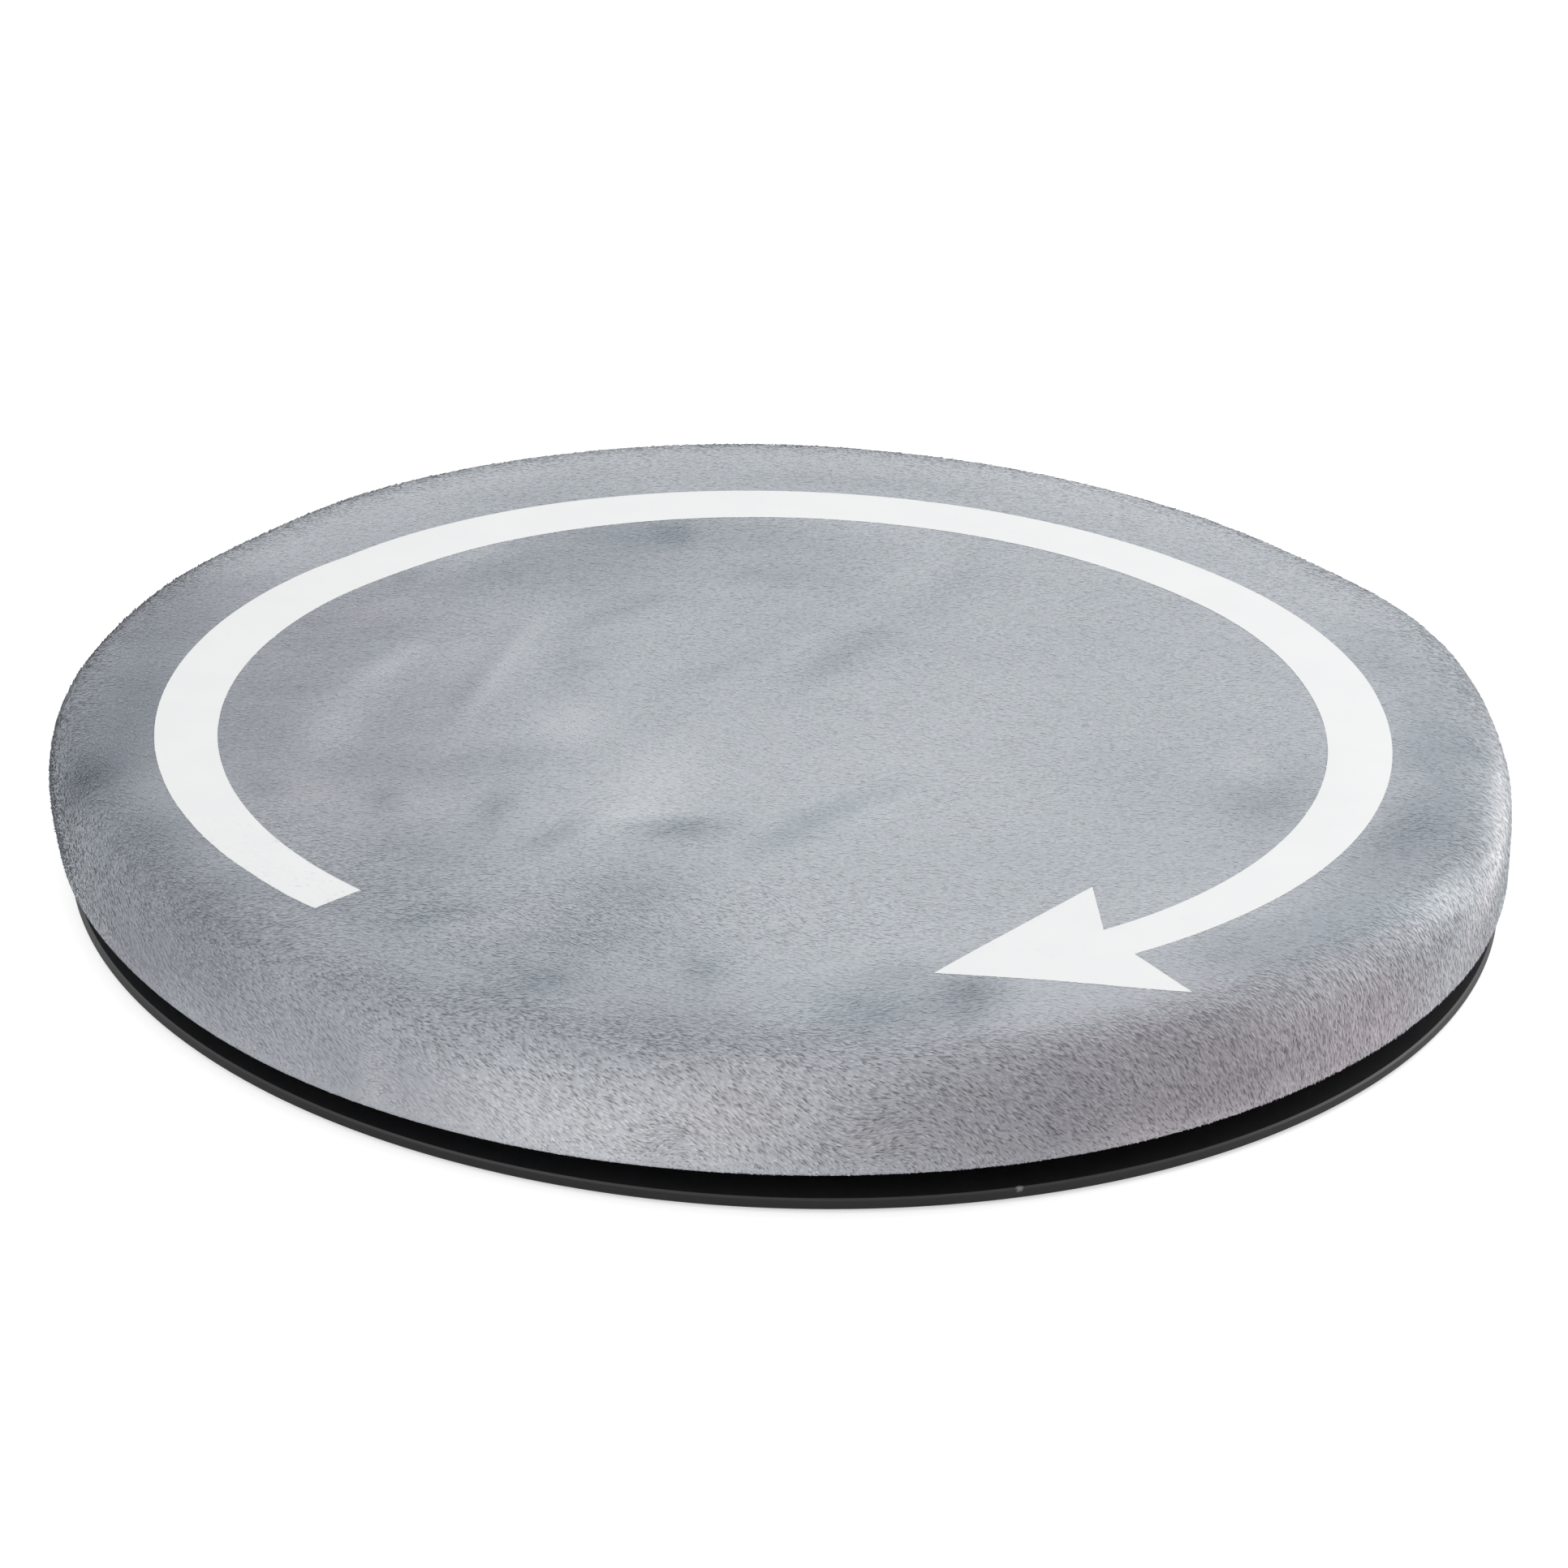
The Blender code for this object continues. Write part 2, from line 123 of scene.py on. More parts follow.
def surfaced(made, shader):
    """The material with the shader joined to its output."""
    add(made.node_tree, "ShaderNodeOutputMaterial", Surface=shader)
    return made


def meshed(name, shape):
    """The bmesh as a mesh."""
    mesh = bpy.data.meshes.new(name)
    shape.to_mesh(mesh)
    shape.free()
    return mesh


def to_object(name, shape):
    """The bmesh as an object in the scene, its doubles merged and its faces pointing out."""
    bmesh.ops.remove_doubles(shape, verts=shape.verts, dist=1e-6)
    bmesh.ops.recalc_face_normals(shape, faces=shape.faces)
    made = linked(name, meshed(name, shape))
    made.data.shade_smooth()
    return made


def white_paper():
    """White table top that the lens sees as white as the room, but for the shadow on it."""
    made, tree = bare_material("white_table")
    seen = add(tree, "ShaderNodeLightPath").outputs["Is Camera Ray"]
    glow = add(tree, "ShaderNodeMath", {"operation": "MULTIPLY"}, Value_0=seen, Value_1=TABLE_GLOW)
    lit = add(tree, "ShaderNodeBsdfDiffuse", Color=colour(TABLE_WHITE))
    bright = add(tree, "ShaderNodeEmission", Strength=glow)
    both = add(tree, "ShaderNodeAddShader", Shader_0=lit, Shader_1=bright)
    return surfaced(made, both)


shape = bmesh.new()
bmesh.ops.create_grid(shape, x_segments=1, y_segments=1, size=TABLE_REACH)
table = to_object("table", shape)
table.data.materials.append(white_paper())

room = bpy.data.worlds.new("room")
bpy.context.scene.world = room
room.use_nodes = True
tree = room.node_tree
tree.nodes.clear()
path = add(tree, "ShaderNodeLightPath")
mirrored = add(tree, "ShaderNodeMath", {"operation": "MAXIMUM"}, Value_0=path.outputs["Is Glossy Ray"],
               Value_1=path.outputs["Is Transmission Ray"])
seen = add(tree, "ShaderNodeMath", {"operation": "MAXIMUM"}, Value_0=path.outputs["Is Camera Ray"],
           Value_1=mirrored)
strength = add(tree, "ShaderNodeMapRange", Value=seen, To_Min=ROOM_LIGHT, To_Max=1.0)
light = add(tree, "ShaderNodeBackground", Color=(1, 1, 1, 1), Strength=strength)
add(tree, "ShaderNodeOutputWorld", Surface=light)


def lamp(name, place, power, size):
    """A square soft lamp that faces the cushion."""
    made = linked(name, bpy.data.lights.new(name, "AREA"))
    made.data.energy, made.data.size = power, size
    made.location = place
    made.rotation_euler = Vector(place).to_track_quat("Z", "Y").to_euler()


lamp("key_lamp", KEY_PLACE, KEY_POWER, KEY_SIZE)
lamp("fill_lamp", FILL_PLACE, FILL_POWER, FILL_SIZE)


# Base disc: injection-moulded black ABS, turned smooth at the rim. It lies on eight rubber pads sunk into its
# underside, and its ball track stands up on top between two rails.
low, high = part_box("base_plate")
RIM_PROUD = 0.0003
BASE_RADIUS, PAD_STAND = high.x + RIM_PROUD, low.z
BASE_THICKNESS = 0.0031
EDGE_ROUND = 0.0005
BOSS_RADIUS, BOSS_TOP = 0.012, 0.0118
BORE = 0.0033
HEAD_ROOF, HEAD_WALL = 0.0034, 0.0086
TRACK_RADIUS, BALL_HEIGHT, BALL_RADIUS = 0.125, 0.0077, 0.004
GROOVE, GROOVE_OFF, GROOVE_HALF, RAIL_WIDTH = 0.0046, 0.0003, 1.169, 0.003
PAD_RECESS, PAD_SINK = 0.0123, 0.0009
SCUFF_TURN, SCUFF_DROP = radians(17.9), 0.0001
SCUFF_RAGGED, SCUFF_CORE, SCUFF_REACH = 0.0012, 0.0012, 0.0018
NO_SCUFF = (0, 0, -1)
RIM_STEPS = 256
SHARP_EDGE = radians(35)


def lathed(section, closed, steps):
    """The shape turned about the swivel axis from its section of (radius, height) points, open or closed."""
    shape = bmesh.new()
    points = [shape.verts.new((radius, 0, height)) for radius, height in section]
    line = points + points[:1] if closed else points
    edges = [shape.edges.new(pair) for pair in zip(line, line[1:])]
    bmesh.ops.spin(shape, geom=points + edges, cent=(0, 0, 0), axis=(0, 0, 1), angle=2 * pi, steps=steps,
                   use_merge=True)
    return shape


def spun(name, section, steps=RIM_STEPS):
    """A solid turned from its section, which is closed unless it starts and ends on the axis."""
    made = to_object(name, lathed(section, section[0][0] != 0, steps))
    made.data.set_sharp_from_angle(angle=SHARP_EDGE)
    return made


def applied(piece):
    """Works the piece's modifiers into its mesh."""
    result = bpy.data.meshes.new_from_object(piece.evaluated_get(bpy.context.evaluated_depsgraph_get()))
    piece.modifiers.clear()
    piece.data = result


def drilled(piece, places, radius, bottom, top, corners=64):
    """Cuts a round or many-cornered hole with a flat roof into the piece from below at each place."""
    shape = bmesh.new()
    for x, y in places:
        bmesh.ops.create_cone(shape, cap_ends=True, segments=corners, radius1=radius, radius2=radius,
                              depth=top - bottom, matrix=Matrix.Translation((x, y, (top + bottom) / 2)))
    cutter = to_object("cutter", shape)
    hole = piece.modifiers.new("hole", "BOOLEAN")
    hole.object, hole.solver = cutter, "EXACT"
    applied(piece)
    bpy.data.objects.remove(cutter)
    piece.data.shade_smooth()
    piece.data.set_sharp_from_angle(angle=SHARP_EDGE)


def rails(side, web):
    """The ball groove between its two rails, from the outside in. side is -1 below the balls and 1 above."""
    middle = BALL_HEIGHT - side * GROOVE_OFF
    turns = [GROOVE_HALF * (1 - k / 5) for k in range(11)]
    line = [(TRACK_RADIUS + GROOVE * sin(turn), middle + side * GROOVE * cos(turn)) for turn in turns]
    outer, inner, lip = line[0][0] + RAIL_WIDTH, line[-1][0] - RAIL_WIDTH, line[0][1]
    return [(outer, web), (outer, lip), *line, (inner, lip), (inner, web)]


def patterned(name):
    """A bare material and its tree, with the place on the object that its patterns follow."""
    made, tree = bare_material(name)
    return made, tree, add(tree, "ShaderNodeTexCoord").outputs["Object"]


def moulded_black(name, code, rough, scuff=NO_SCUFF):
    """Moulded black plastic with a fine spark-eroded grain of half a millimetre: it mirrors the room as a soft
    dark grey, and handling has polished it here and there. The scuff is a small pale chafe at one place."""
    made, tree, place = patterned(name)
    grain = add(tree, "ShaderNodeTexNoise", Vector=place, Scale=2200.0, Detail=3.0)
    smear = add(tree, "ShaderNodeTexNoise", Vector=place, Scale=22.0, Detail=4.0)
    polish = add(tree, "ShaderNodeMapRange", Value=smear, To_Min=rough - 0.08, To_Max=rough + 0.08)
    bump = add(tree, "ShaderNodeBump", Strength=0.12, Distance=0.0002, Height=grain)
    off = add(tree, "ShaderNodeVectorMath", {"operation": "DISTANCE"}, Vector_0=place, Vector_1=scuff)
    chafed = add(tree, "ShaderNodeMath", {"operation": "MULTIPLY_ADD"}, Value_0=grain, Value_1=SCUFF_RAGGED,
                 Value_2=off.outputs["Value"])
    chafed = add(tree, "ShaderNodeMapRange", Value=chafed, From_Min=SCUFF_REACH, From_Max=SCUFF_CORE)
    mixed = add(tree, "ShaderNodeMix", {"data_type": "RGBA"}, Factor_0=chafed, A_6=colour(code),
                B_7=colour("7C7C7E"))
    shader = add(tree, "ShaderNodeBsdfPrincipled", Base_Color=mixed.outputs[2], Roughness=polish, IOR=1.53,
                 Normal=bump)
    return surfaced(made, shader)


top = PAD_STAND + BASE_THICKNESS
section = [(BORE, HEAD_ROOF), (HEAD_WALL, HEAD_ROOF), (HEAD_WALL, PAD_STAND),
           (BASE_RADIUS - EDGE_ROUND, PAD_STAND), (BASE_RADIUS, PAD_STAND + EDGE_ROUND),
           (BASE_RADIUS, top - EDGE_ROUND), (BASE_RADIUS - EDGE_ROUND, top), *rails(-1, top),
           (BOSS_RADIUS, top), (BOSS_RADIUS, BOSS_TOP), (BORE, BOSS_TOP)]
pads = [(low + high) / 2 for low, high in (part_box(f"grip_pad_{k}") for k in range(1, 9))]
disc = spun("base_disc", section)
drilled(disc, [(pad.x, pad.y) for pad in pads], PAD_RECESS, 0.0, PAD_STAND + PAD_SINK)
scuff = (BASE_RADIUS * sin(SCUFF_TURN), -BASE_RADIUS * cos(SCUFF_TURN), top - SCUFF_DROP)
disc.data.materials.append(moulded_black("moulded_black_abs", "1B1B1D", 0.38, scuff))
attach(disc, "base")
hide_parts("base_plate")


# Grip pads: moulded black rubber, 24 mm across, glued into shallow recesses in the base's underside. Three
# grooves round the middle let the rubber give, so that it holds on a seat.
low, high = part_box("grip_pad_1")
PAD_RADIUS, PAD_TOP = (high.x - low.x) / 2, high.z
PAD_ROUND = 0.0004
GROOVE_RADII, GROOVE_WIDTH, GROOVE_DEPTH = (0.0034, 0.0064, 0.0094), 0.0009, 0.0004


def moulded_rubber():
    """Moulded rubber: dull near-black with a fine grain, greyed by dust where it has rubbed."""
    made, tree, place = patterned("moulded_black_rubber")
    grain = add(tree, "ShaderNodeTexNoise", Vector=place, Scale=3000.0, Detail=2.0)
    dust = add(tree, "ShaderNodeTexNoise", Vector=place, Scale=160.0, Detail=5.0)
    dust = add(tree, "ShaderNodeMapRange", Value=dust, From_Min=0.45, From_Max=0.75, To_Max=0.5)
    mixed = add(tree, "ShaderNodeMix", {"data_type": "RGBA"}, Factor_0=dust, A_6=colour("141414"),
                B_7=colour("343433"))
    bump = add(tree, "ShaderNodeBump", Strength=0.3, Distance=0.0002, Height=grain)
    shader = add(tree, "ShaderNodeBsdfPrincipled", Base_Color=mixed.outputs[2], Roughness=0.82, IOR=1.52,
                 Normal=bump)
    return surfaced(made, shader)


section = [(0, 0)]
for radius in GROOVE_RADII:
    section += [(radius, 0), (radius + 0.2 * GROOVE_WIDTH, GROOVE_DEPTH),
                (radius + 0.8 * GROOVE_WIDTH, GROOVE_DEPTH), (radius + GROOVE_WIDTH, 0)]
section += [(PAD_RADIUS - PAD_ROUND, 0), (PAD_RADIUS, PAD_ROUND), (PAD_RADIUS, PAD_TOP), (0, PAD_TOP)]
rubber = moulded_rubber()
for k, middle in enumerate(pads, 1):
    pad = spun(f"ribbed_grip_pad_{k}", section, 64)
    pad.data.transform(Matrix.Translation((middle.x, middle.y, 0)))
    pad.data.materials.append(rubber)
    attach(pad, "base")
    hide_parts(f"grip_pad_{k}")


# Pivot: an M6 bolt with a low head and a hexagon socket, a lock nut and its washer, all zinc-plated steel, hold
# the discs together. The nut and washer keep their CAD shapes.
low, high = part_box("pivot_bolt")
HEAD_RADIUS, HEAD_BOTTOM, HEAD_TOP, BOLT_TIP = high.x, low.z, 0.0031, high.z
HEAD_EDGE, SHANK_RADIUS, TIP_CHAMFER = 0.0008, 0.003, 0.0006
SOCKET_FLATS, SOCKET_ROOF = 0.004, 0.0025
THREAD_PITCH, THREAD_START = 0.001, 0.0165


def zinc_plate():
    """Zinc-plated steel: bright satin grey with a faint yellow and blue bloom of its passivation, and the
    screw's thread drawn in relief above the discs."""
    made, tree, place = patterned("zinc_plated_steel")
    bloom = add(tree, "ShaderNodeTexNoise", Vector=place, Scale=240.0, Detail=3.0)
    mixed = add(tree, "ShaderNodeMix", {"data_type": "RGBA"}, Factor_0=bloom, A_6=colour("B3B8C0"),
                B_7=colour("C3C0B2"))
    worn = add(tree, "ShaderNodeMapRange", Value=bloom, To_Min=0.24, To_Max=0.42)
    parts = add(tree, "ShaderNodeSeparateXYZ", Vector=place)
    turn = add(tree, "ShaderNodeTexGradient", {"gradient_type": "RADIAL"}, Vector=place)
    rise = add(tree, "ShaderNodeMath", {"operation": "MULTIPLY_ADD"}, Value_0=parts.outputs["Z"],
               Value_1=1 / THREAD_PITCH, Value_2=turn.outputs[1])
    thread = add(tree, "ShaderNodeMath", {"operation": "PINGPONG"}, Value_0=rise, Value_1=0.5)
    above = add(tree, "ShaderNodeMath", {"operation": "GREATER_THAN"}, Value_0=parts.outputs["Z"],
                Value_1=THREAD_START)
    thread = add(tree, "ShaderNodeMath", {"operation": "MULTIPLY"}, Value_0=thread, Value_1=above)
    bump = add(tree, "ShaderNodeBump", Strength=0.9, Distance=0.0006, Height=thread)
    shader = add(tree, "ShaderNodeBsdfPrincipled", Base_Color=mixed.outputs[2], Metallic=1.0, Roughness=worn,
                 Normal=bump)
    return surfaced(made, shader)


def refinished(node, finish):
    """Gives a CAD node that stays a new material."""
    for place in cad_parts[node].material_slots:
        place.material = finish


section = [(0, HEAD_BOTTOM), (HEAD_RADIUS - HEAD_EDGE, HEAD_BOTTOM), (HEAD_RADIUS, HEAD_BOTTOM + HEAD_EDGE),
           (HEAD_RADIUS, HEAD_TOP), (SHANK_RADIUS, HEAD_TOP), (SHANK_RADIUS, BOLT_TIP - TIP_CHAMFER),
           (SHANK_RADIUS - TIP_CHAMFER, BOLT_TIP), (0, BOLT_TIP)]
bolt = spun("socket_head_bolt", section, 64)
drilled(bolt, [(0, 0)], SOCKET_FLATS / sqrt(3), 0.0, SOCKET_ROOF, corners=6)
zinc = zinc_plate()
bolt.data.materials.append(zinc)
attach(bolt, "base")
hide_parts("pivot_bolt")
refinished("lock_nut", zinc)
refinished("pivot_washer", zinc)


# Nylon: the thrust washer under the top disc, the bush round the bolt and the disc that keeps the balls apart
# are moulded nylon and keep their CAD shapes.
def moulded_nylon(name, code):
    """Moulded nylon: milky and waxy, with a faint flow pattern and a soft gloss."""
    made, tree, place = patterned(name)
    flow = add(tree, "ShaderNodeTexNoise", Vector=place, Scale=60.0, Detail=3.0, Distortion=1.5)
    shade = add(tree, "ShaderNodeMapRange", Value=flow, To_Min=0.94, To_Max=1.03)
    toned = add(tree, "ShaderNodeVectorMath", {"operation": "SCALE"}, Vector_0=colour(code)[:3], Scale=shade)
    grain = add(tree, "ShaderNodeTexNoise", Vector=place, Scale=2500.0)
    bump = add(tree, "ShaderNodeBump", Strength=0.15, Distance=0.0001, Height=grain)
    shader = add(tree, "ShaderNodeBsdfPrincipled", Base_Color=toned, Roughness=0.42, IOR=1.53, Normal=bump)
    return surfaced(made, shader)


refinished("thrust_washer", moulded_nylon("moulded_natural_nylon", "E4E0D4"))
refinished("pivot_bush", moulded_nylon("moulded_white_nylon", "E9E7DF"))
refinished("ball_retainer", moulded_nylon("moulded_grey_nylon", "8E9194"))


# Balls: sixteen 8 mm balls of bearing steel, hardened, ground and lapped, each in its hole of the retainer.
BALL_COUNT = 16


def lapped_steel():
    """Lapped bearing steel: a near mirror with the fine haze of thin grease."""
    made, tree, place = patterned("lapped_bearing_steel")
    grease = add(tree, "ShaderNodeTexNoise", Vector=place, Scale=300.0, Detail=3.0)
    haze = add(tree, "ShaderNodeMapRange", Value=grease, From_Min=0.4, From_Max=0.7, To_Min=0.06, To_Max=0.2)
    shader = add(tree, "ShaderNodeBsdfPrincipled", Base_Color=colour("D5D7D8"), Metallic=1.0, Roughness=haze)
    return surfaced(made, shader)


steel = lapped_steel()
for k in range(1, BALL_COUNT + 1):
    low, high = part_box(f"ball_{k:02d}")
    shape = bmesh.new()
    bmesh.ops.create_icosphere(shape, subdivisions=4, radius=BALL_RADIUS,
                               matrix=Matrix.Translation((low + high) / 2))
    ball = to_object(f"steel_ball_{k:02d}", shape)
    ball.data.materials.append(steel)
    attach(ball, f"rolling_ball_{k:02d}")
    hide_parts(f"ball_{k:02d}")


# Top disc: the turntable's upper half, moulded in black polypropylene, with the upper ball track under it. The
# cover's hem wraps round its rim.
low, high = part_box("top_plate")
TOP_RADIUS, TOP_SURFACE, TOP_UNDERSIDE = high.x, 0.0169, 0.0139
TOP_CHAMFER = 0.0008
BUSH_BORE = 0.0052

section = [(BUSH_BORE, TOP_SURFACE), (TOP_RADIUS - TOP_CHAMFER, TOP_SURFACE),
           (TOP_RADIUS, TOP_SURFACE - TOP_CHAMFER), (TOP_RADIUS, TOP_UNDERSIDE + TOP_CHAMFER),
           (TOP_RADIUS - TOP_CHAMFER, TOP_UNDERSIDE), *rails(1, TOP_UNDERSIDE), (BUSH_BORE, TOP_UNDERSIDE)]
disc = spun("top_disc", section)
disc.data.materials.append(moulded_black("moulded_black_pp", "161617", 0.5))
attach(disc, "top")
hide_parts("top_plate")


# Foam: two layers of cut polyurethane foam glued on the top disc. The lower one is firm and has a bore for the
# pivot nut; the soft upper one gives the cushion its rounded shoulder and crown.
low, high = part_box("cover")
COVER_RADIUS, COVER_BOTTOM = high.x, low.z
FOAM_RADIUS, FOAM_BORE = 0.1965, 0.014
FOAM_BOTTOM, FOAM_SPLIT, FOAM_SHOULDER, FOAM_TOP = 0.0173, 0.0300, 0.0409, 0.0435
FIRM_TUCK, TUCK_HEIGHT, FIRM_BELLY, FIRM_TAPER = 0.0012, 0.003, 0.0255, 0.0002
SOFT_INSET, GLUE_LINE = 0.0004, 0.0003
FOAM_ROUND, KNIFE_ROUND = 0.010, 0.0004
FOAM_STEPS = 128


def cut_foam(name, code, cell):
    """Cut foam: matt open cells, each a dimple darkened with painted shade towards its middle, so its rim reads
    paler.
    """
    made, tree, place = patterned(name)
    cells = add(tree, "ShaderNodeTexVoronoi", Vector=place, Scale=1 / cell)
    cloud = add(tree, "ShaderNodeTexNoise", Vector=place, Scale=30.0, Detail=3.0)
    # Painted shade: each cell darkens towards its middle, where its dimple is deepest.
    depth = add(tree, "ShaderNodeMapRange", Value=cells.outputs["Distance"], From_Max=0.6, To_Min=0.72,
                To_Max=1.0)
    shade = add(tree, "ShaderNodeMapRange", Value=cloud, To_Min=0.93, To_Max=1.05)
    both = add(tree, "ShaderNodeMath", {"operation": "MULTIPLY"}, Value_0=depth, Value_1=shade)
    toned = add(tree, "ShaderNodeVectorMath", {"operation": "SCALE"}, Vector_0=colour(code)[:3], Scale=both)
    bump = add(tree, "ShaderNodeBump", Strength=0.5, Distance=0.0004, Height=cells.outputs["Distance"])
    shader = add(tree, "ShaderNodeBsdfPrincipled", Base_Color=toned, Roughness=0.95, Normal=bump)
    return surfaced(made, shader)


cut = FOAM_RADIUS - FIRM_TAPER
section = [(FOAM_BORE, FOAM_BOTTOM), (FOAM_RADIUS - FIRM_TUCK, FOAM_BOTTOM),
           (FOAM_RADIUS - FIRM_TUCK / 2, FOAM_BOTTOM + TUCK_HEIGHT), (FOAM_RADIUS, FIRM_BELLY),
           (cut, FOAM_SPLIT - KNIFE_ROUND), (cut - KNIFE_ROUND, FOAM_SPLIT), (FOAM_BORE, FOAM_SPLIT)]
foam = spun("firm_foam_layer", section, FOAM_STEPS)
foam.data.materials.append(cut_foam("cut_firm_foam", "C9CBCD", 0.0011))
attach(foam, "top")
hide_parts("base_foam")

glue = FOAM_SPLIT + GLUE_LINE
middle = FOAM_RADIUS - SOFT_INSET - FOAM_ROUND
section = [(0, glue), (FOAM_RADIUS - GLUE_LINE, glue)]
section += [(middle + FOAM_ROUND * cos(pi / 16 * k),
             FOAM_SHOULDER - FOAM_ROUND + FOAM_ROUND * sin(pi / 16 * k)) for k in range(9)]
section += [(middle * (1 - k / 8), FOAM_SHOULDER + (FOAM_TOP - FOAM_SHOULDER) * (1 - (1 - k / 8) ** 2))
            for k in range(1, 9)]
foam = spun("soft_foam_layer", section, FOAM_STEPS)
foam.data.materials.append(cut_foam("cut_memory_foam", "EFE7C9", 0.0008))
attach(foam, "top")
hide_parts("comfort_foam")


# Plush cover: one piece of grey flannel plush, stretched over the foam and gathered under its edge by an
# elastic. This skin is its knitted back. It was blown up as cloth over an uneven cushion, then thinned to the
# fabric.
PILE_HEIGHT = 0.0001
SHOULDER_ROUND, SHOULDER_IN, SHOULDER_RISE = 0.0116, 0.0005, 0.0318
CROWN_RISE, FLAT_CROWN = 0.0026, 0.0004
HEM_ROUND, HEM_PULL_IN = 0.0018, 0.0006
HEM_EDGE, HEM_STEP = 0.166, 0.005
# How far in from the widest place the side stands, and at what height.
SIDE_CURVE = ((0.0004, 0.0165), (0.0002, 0.0195), (0.0001, 0.0225), (0, 0.0255), (0.0002, 0.0287))
FABRIC = 0.0008
SKIN_STEPS, CROWN_STEPS = 200, 44
SWELL, SWELL_LIMIT = 0.0003, 0.0026
PRESSURE, CLOTH_STEPS = 0.3, 20
VOXEL = 0.0045
CUSHION_LEFT = 0.0008
# Where the rim bulges or sinks: middle and half width in degrees from +X, then mm outward and upward.
BULGES = ((100, 70, 0.0, 0.9), (22, 20, 1.8, 1.5), (145, 14, 0.0, -1.2), (183, 26, 1.9, 0.0),
          (-8, 14, -0.6, 0.0))
# Where the hem's edge hangs lower or is drawn up: middle and half width in degrees, then mm upward.
HEM_WAVES = ((-120, 44, -0.85), (-40, 34, 0.9), (-150, 22, 0.7))
# Where each of these sets in and over how far: out from the axis, and up from the cover's bottom.
TOP_OUT, UNDER_OUT, RIM_OUT = (0.11, 0.07), (0.170, 0.020), (0.188, 0.008)
SIDE_UP, SHOULDER_UP, HEM_UP = (0.002, 0.010), (0.008, 0.020), (0.002, 0.012)
HELD_UP, WRAPPED_UP = (0.003, 0.004), (0.003, 0.005)
# How far out along the cloth, in mm, the nap starts to be ruffled, and over how far.
SIDE_RUFFLED, SIDE_BLEND = 180, 16


def skin_section(inset, crown):
    """The skin's outline from the hem's free edge round the side to the axis, inset under the plush."""
    radius, bottom, shoulder = COVER_RADIUS - inset, COVER_BOTTOM, COVER_BOTTOM + SHOULDER_RISE - inset
    line = [(HEM_EDGE + HEM_STEP * k, bottom) for k in range(6)]
    middle = radius - HEM_PULL_IN - HEM_ROUND
    line += [(middle + HEM_ROUND * cos(turn), bottom + HEM_ROUND + HEM_ROUND * sin(turn))
             for turn in (pi / 8 * (k - 4) for k in range(5))]
    line += [(radius - inward, height) for inward, height in SIDE_CURVE]
    middle = radius - SHOULDER_IN - SHOULDER_ROUND
    line += [(middle + SHOULDER_ROUND * cos(turn), shoulder - SHOULDER_ROUND + SHOULDER_ROUND * sin(turn))
             for turn in (pi / 18 * k for k in range(10))]
    shares = [1 - k / CROWN_STEPS for k in range(1, CROWN_STEPS + 1)]
    line += [(middle * share, shoulder + crown * (1 - share ** 2)) for share in shares]
    return line


def skin_shape(inset, crown):
    """The open skin turned from its section."""
    shape = lathed(skin_section(inset, crown), False, SKIN_STEPS)
    bmesh.ops.remove_doubles(shape, verts=shape.verts, dist=1e-6)
    bmesh.ops.recalc_face_normals(shape, faces=shape.faces)
    return shape


def rising(value, start, depth):
    """0 up to the start, and from there up to 1 over the depth."""
    return min(max((value - start) / depth, 0), 1)


def nearness(angle, middle, half):
    """1 at the middle of an arc, falling smoothly to 0 at its ends, all in degrees."""
    return (1 + cos(pi * min(abs((angle - middle + 180) % 360 - 180) / half, 1))) / 2


def uneven(shape):
    """Bulges the shape's side and shoulder and waves its hem, as hand-cut foam and a gathered edge do."""
    for vertex in shape.verts:
        x, y, z = vertex.co
        radius, angle, above = hypot(x, y) or 1, degrees(atan2(y, x)), z - COVER_BOTTOM
        outer = rising(radius, *TOP_OUT)
        out = sum(nearness(angle, middle, half) * outward for middle, half, outward, _ in BULGES)
        out *= outer * rising(above, *SIDE_UP) / 1000
        up = sum(nearness(angle, middle, half) * upward for middle, half, _, upward in BULGES)
        up *= outer * rising(above, *SHOULDER_UP) / 1000
        wave = sum(nearness(angle, middle, half) * upward for middle, half, upward in HEM_WAVES)
        wave *= rising(radius, *RIM_OUT) * (1 - rising(above, *HEM_UP)) / 1000
        aside = CUSHION_LEFT * (rising(radius, *UNDER_OUT) if above < HEM_UP[0] else 1)
        vertex.co = (x * (1 + out / radius) - aside, y * (1 + out / radius), z + up + wave)
    return shape


def graded(piece, name, zone, upward):
    """A vertex group whose weight goes from 0 to 1 over a zone above the cover's bottom, or from 1 to 0."""
    group = piece.vertex_groups.new(name=name)
    for vertex in piece.data.vertices:
        share = rising(vertex.co.z - COVER_BOTTOM, *zone)
        group.add([vertex.index], share if upward else 1 - share, "REPLACE")


skin = to_object("plush_cover", uneven(skin_shape(PILE_HEIGHT, CROWN_RISE)))
closed = uneven(skin_shape(PILE_HEIGHT + SWELL, FLAT_CROWN))
bmesh.ops.holes_fill(closed, edges=[edge for edge in closed.edges if edge.is_boundary], sides=0)
blown = to_object("blown_cushion", closed)
even = blown.modifiers.new("even", "REMESH")
even.mode, even.voxel_size = "VOXEL", VOXEL
applied(blown)
start = [(vertex.co.copy(), vertex.normal.copy()) for vertex in blown.data.vertices]
graded(blown, "held", HELD_UP, upward=False)
inflate = blown.modifiers.new("inflate", "CLOTH")
inflate.settings.use_pressure = True
inflate.settings.uniform_pressure_force = PRESSURE
inflate.settings.effector_weights.gravity = 0
inflate.settings.vertex_group_mass = "held"
for step in range(1, CLOTH_STEPS + 1):
    bpy.context.scene.frame_set(step)
applied(blown)
bpy.context.scene.frame_set(1)
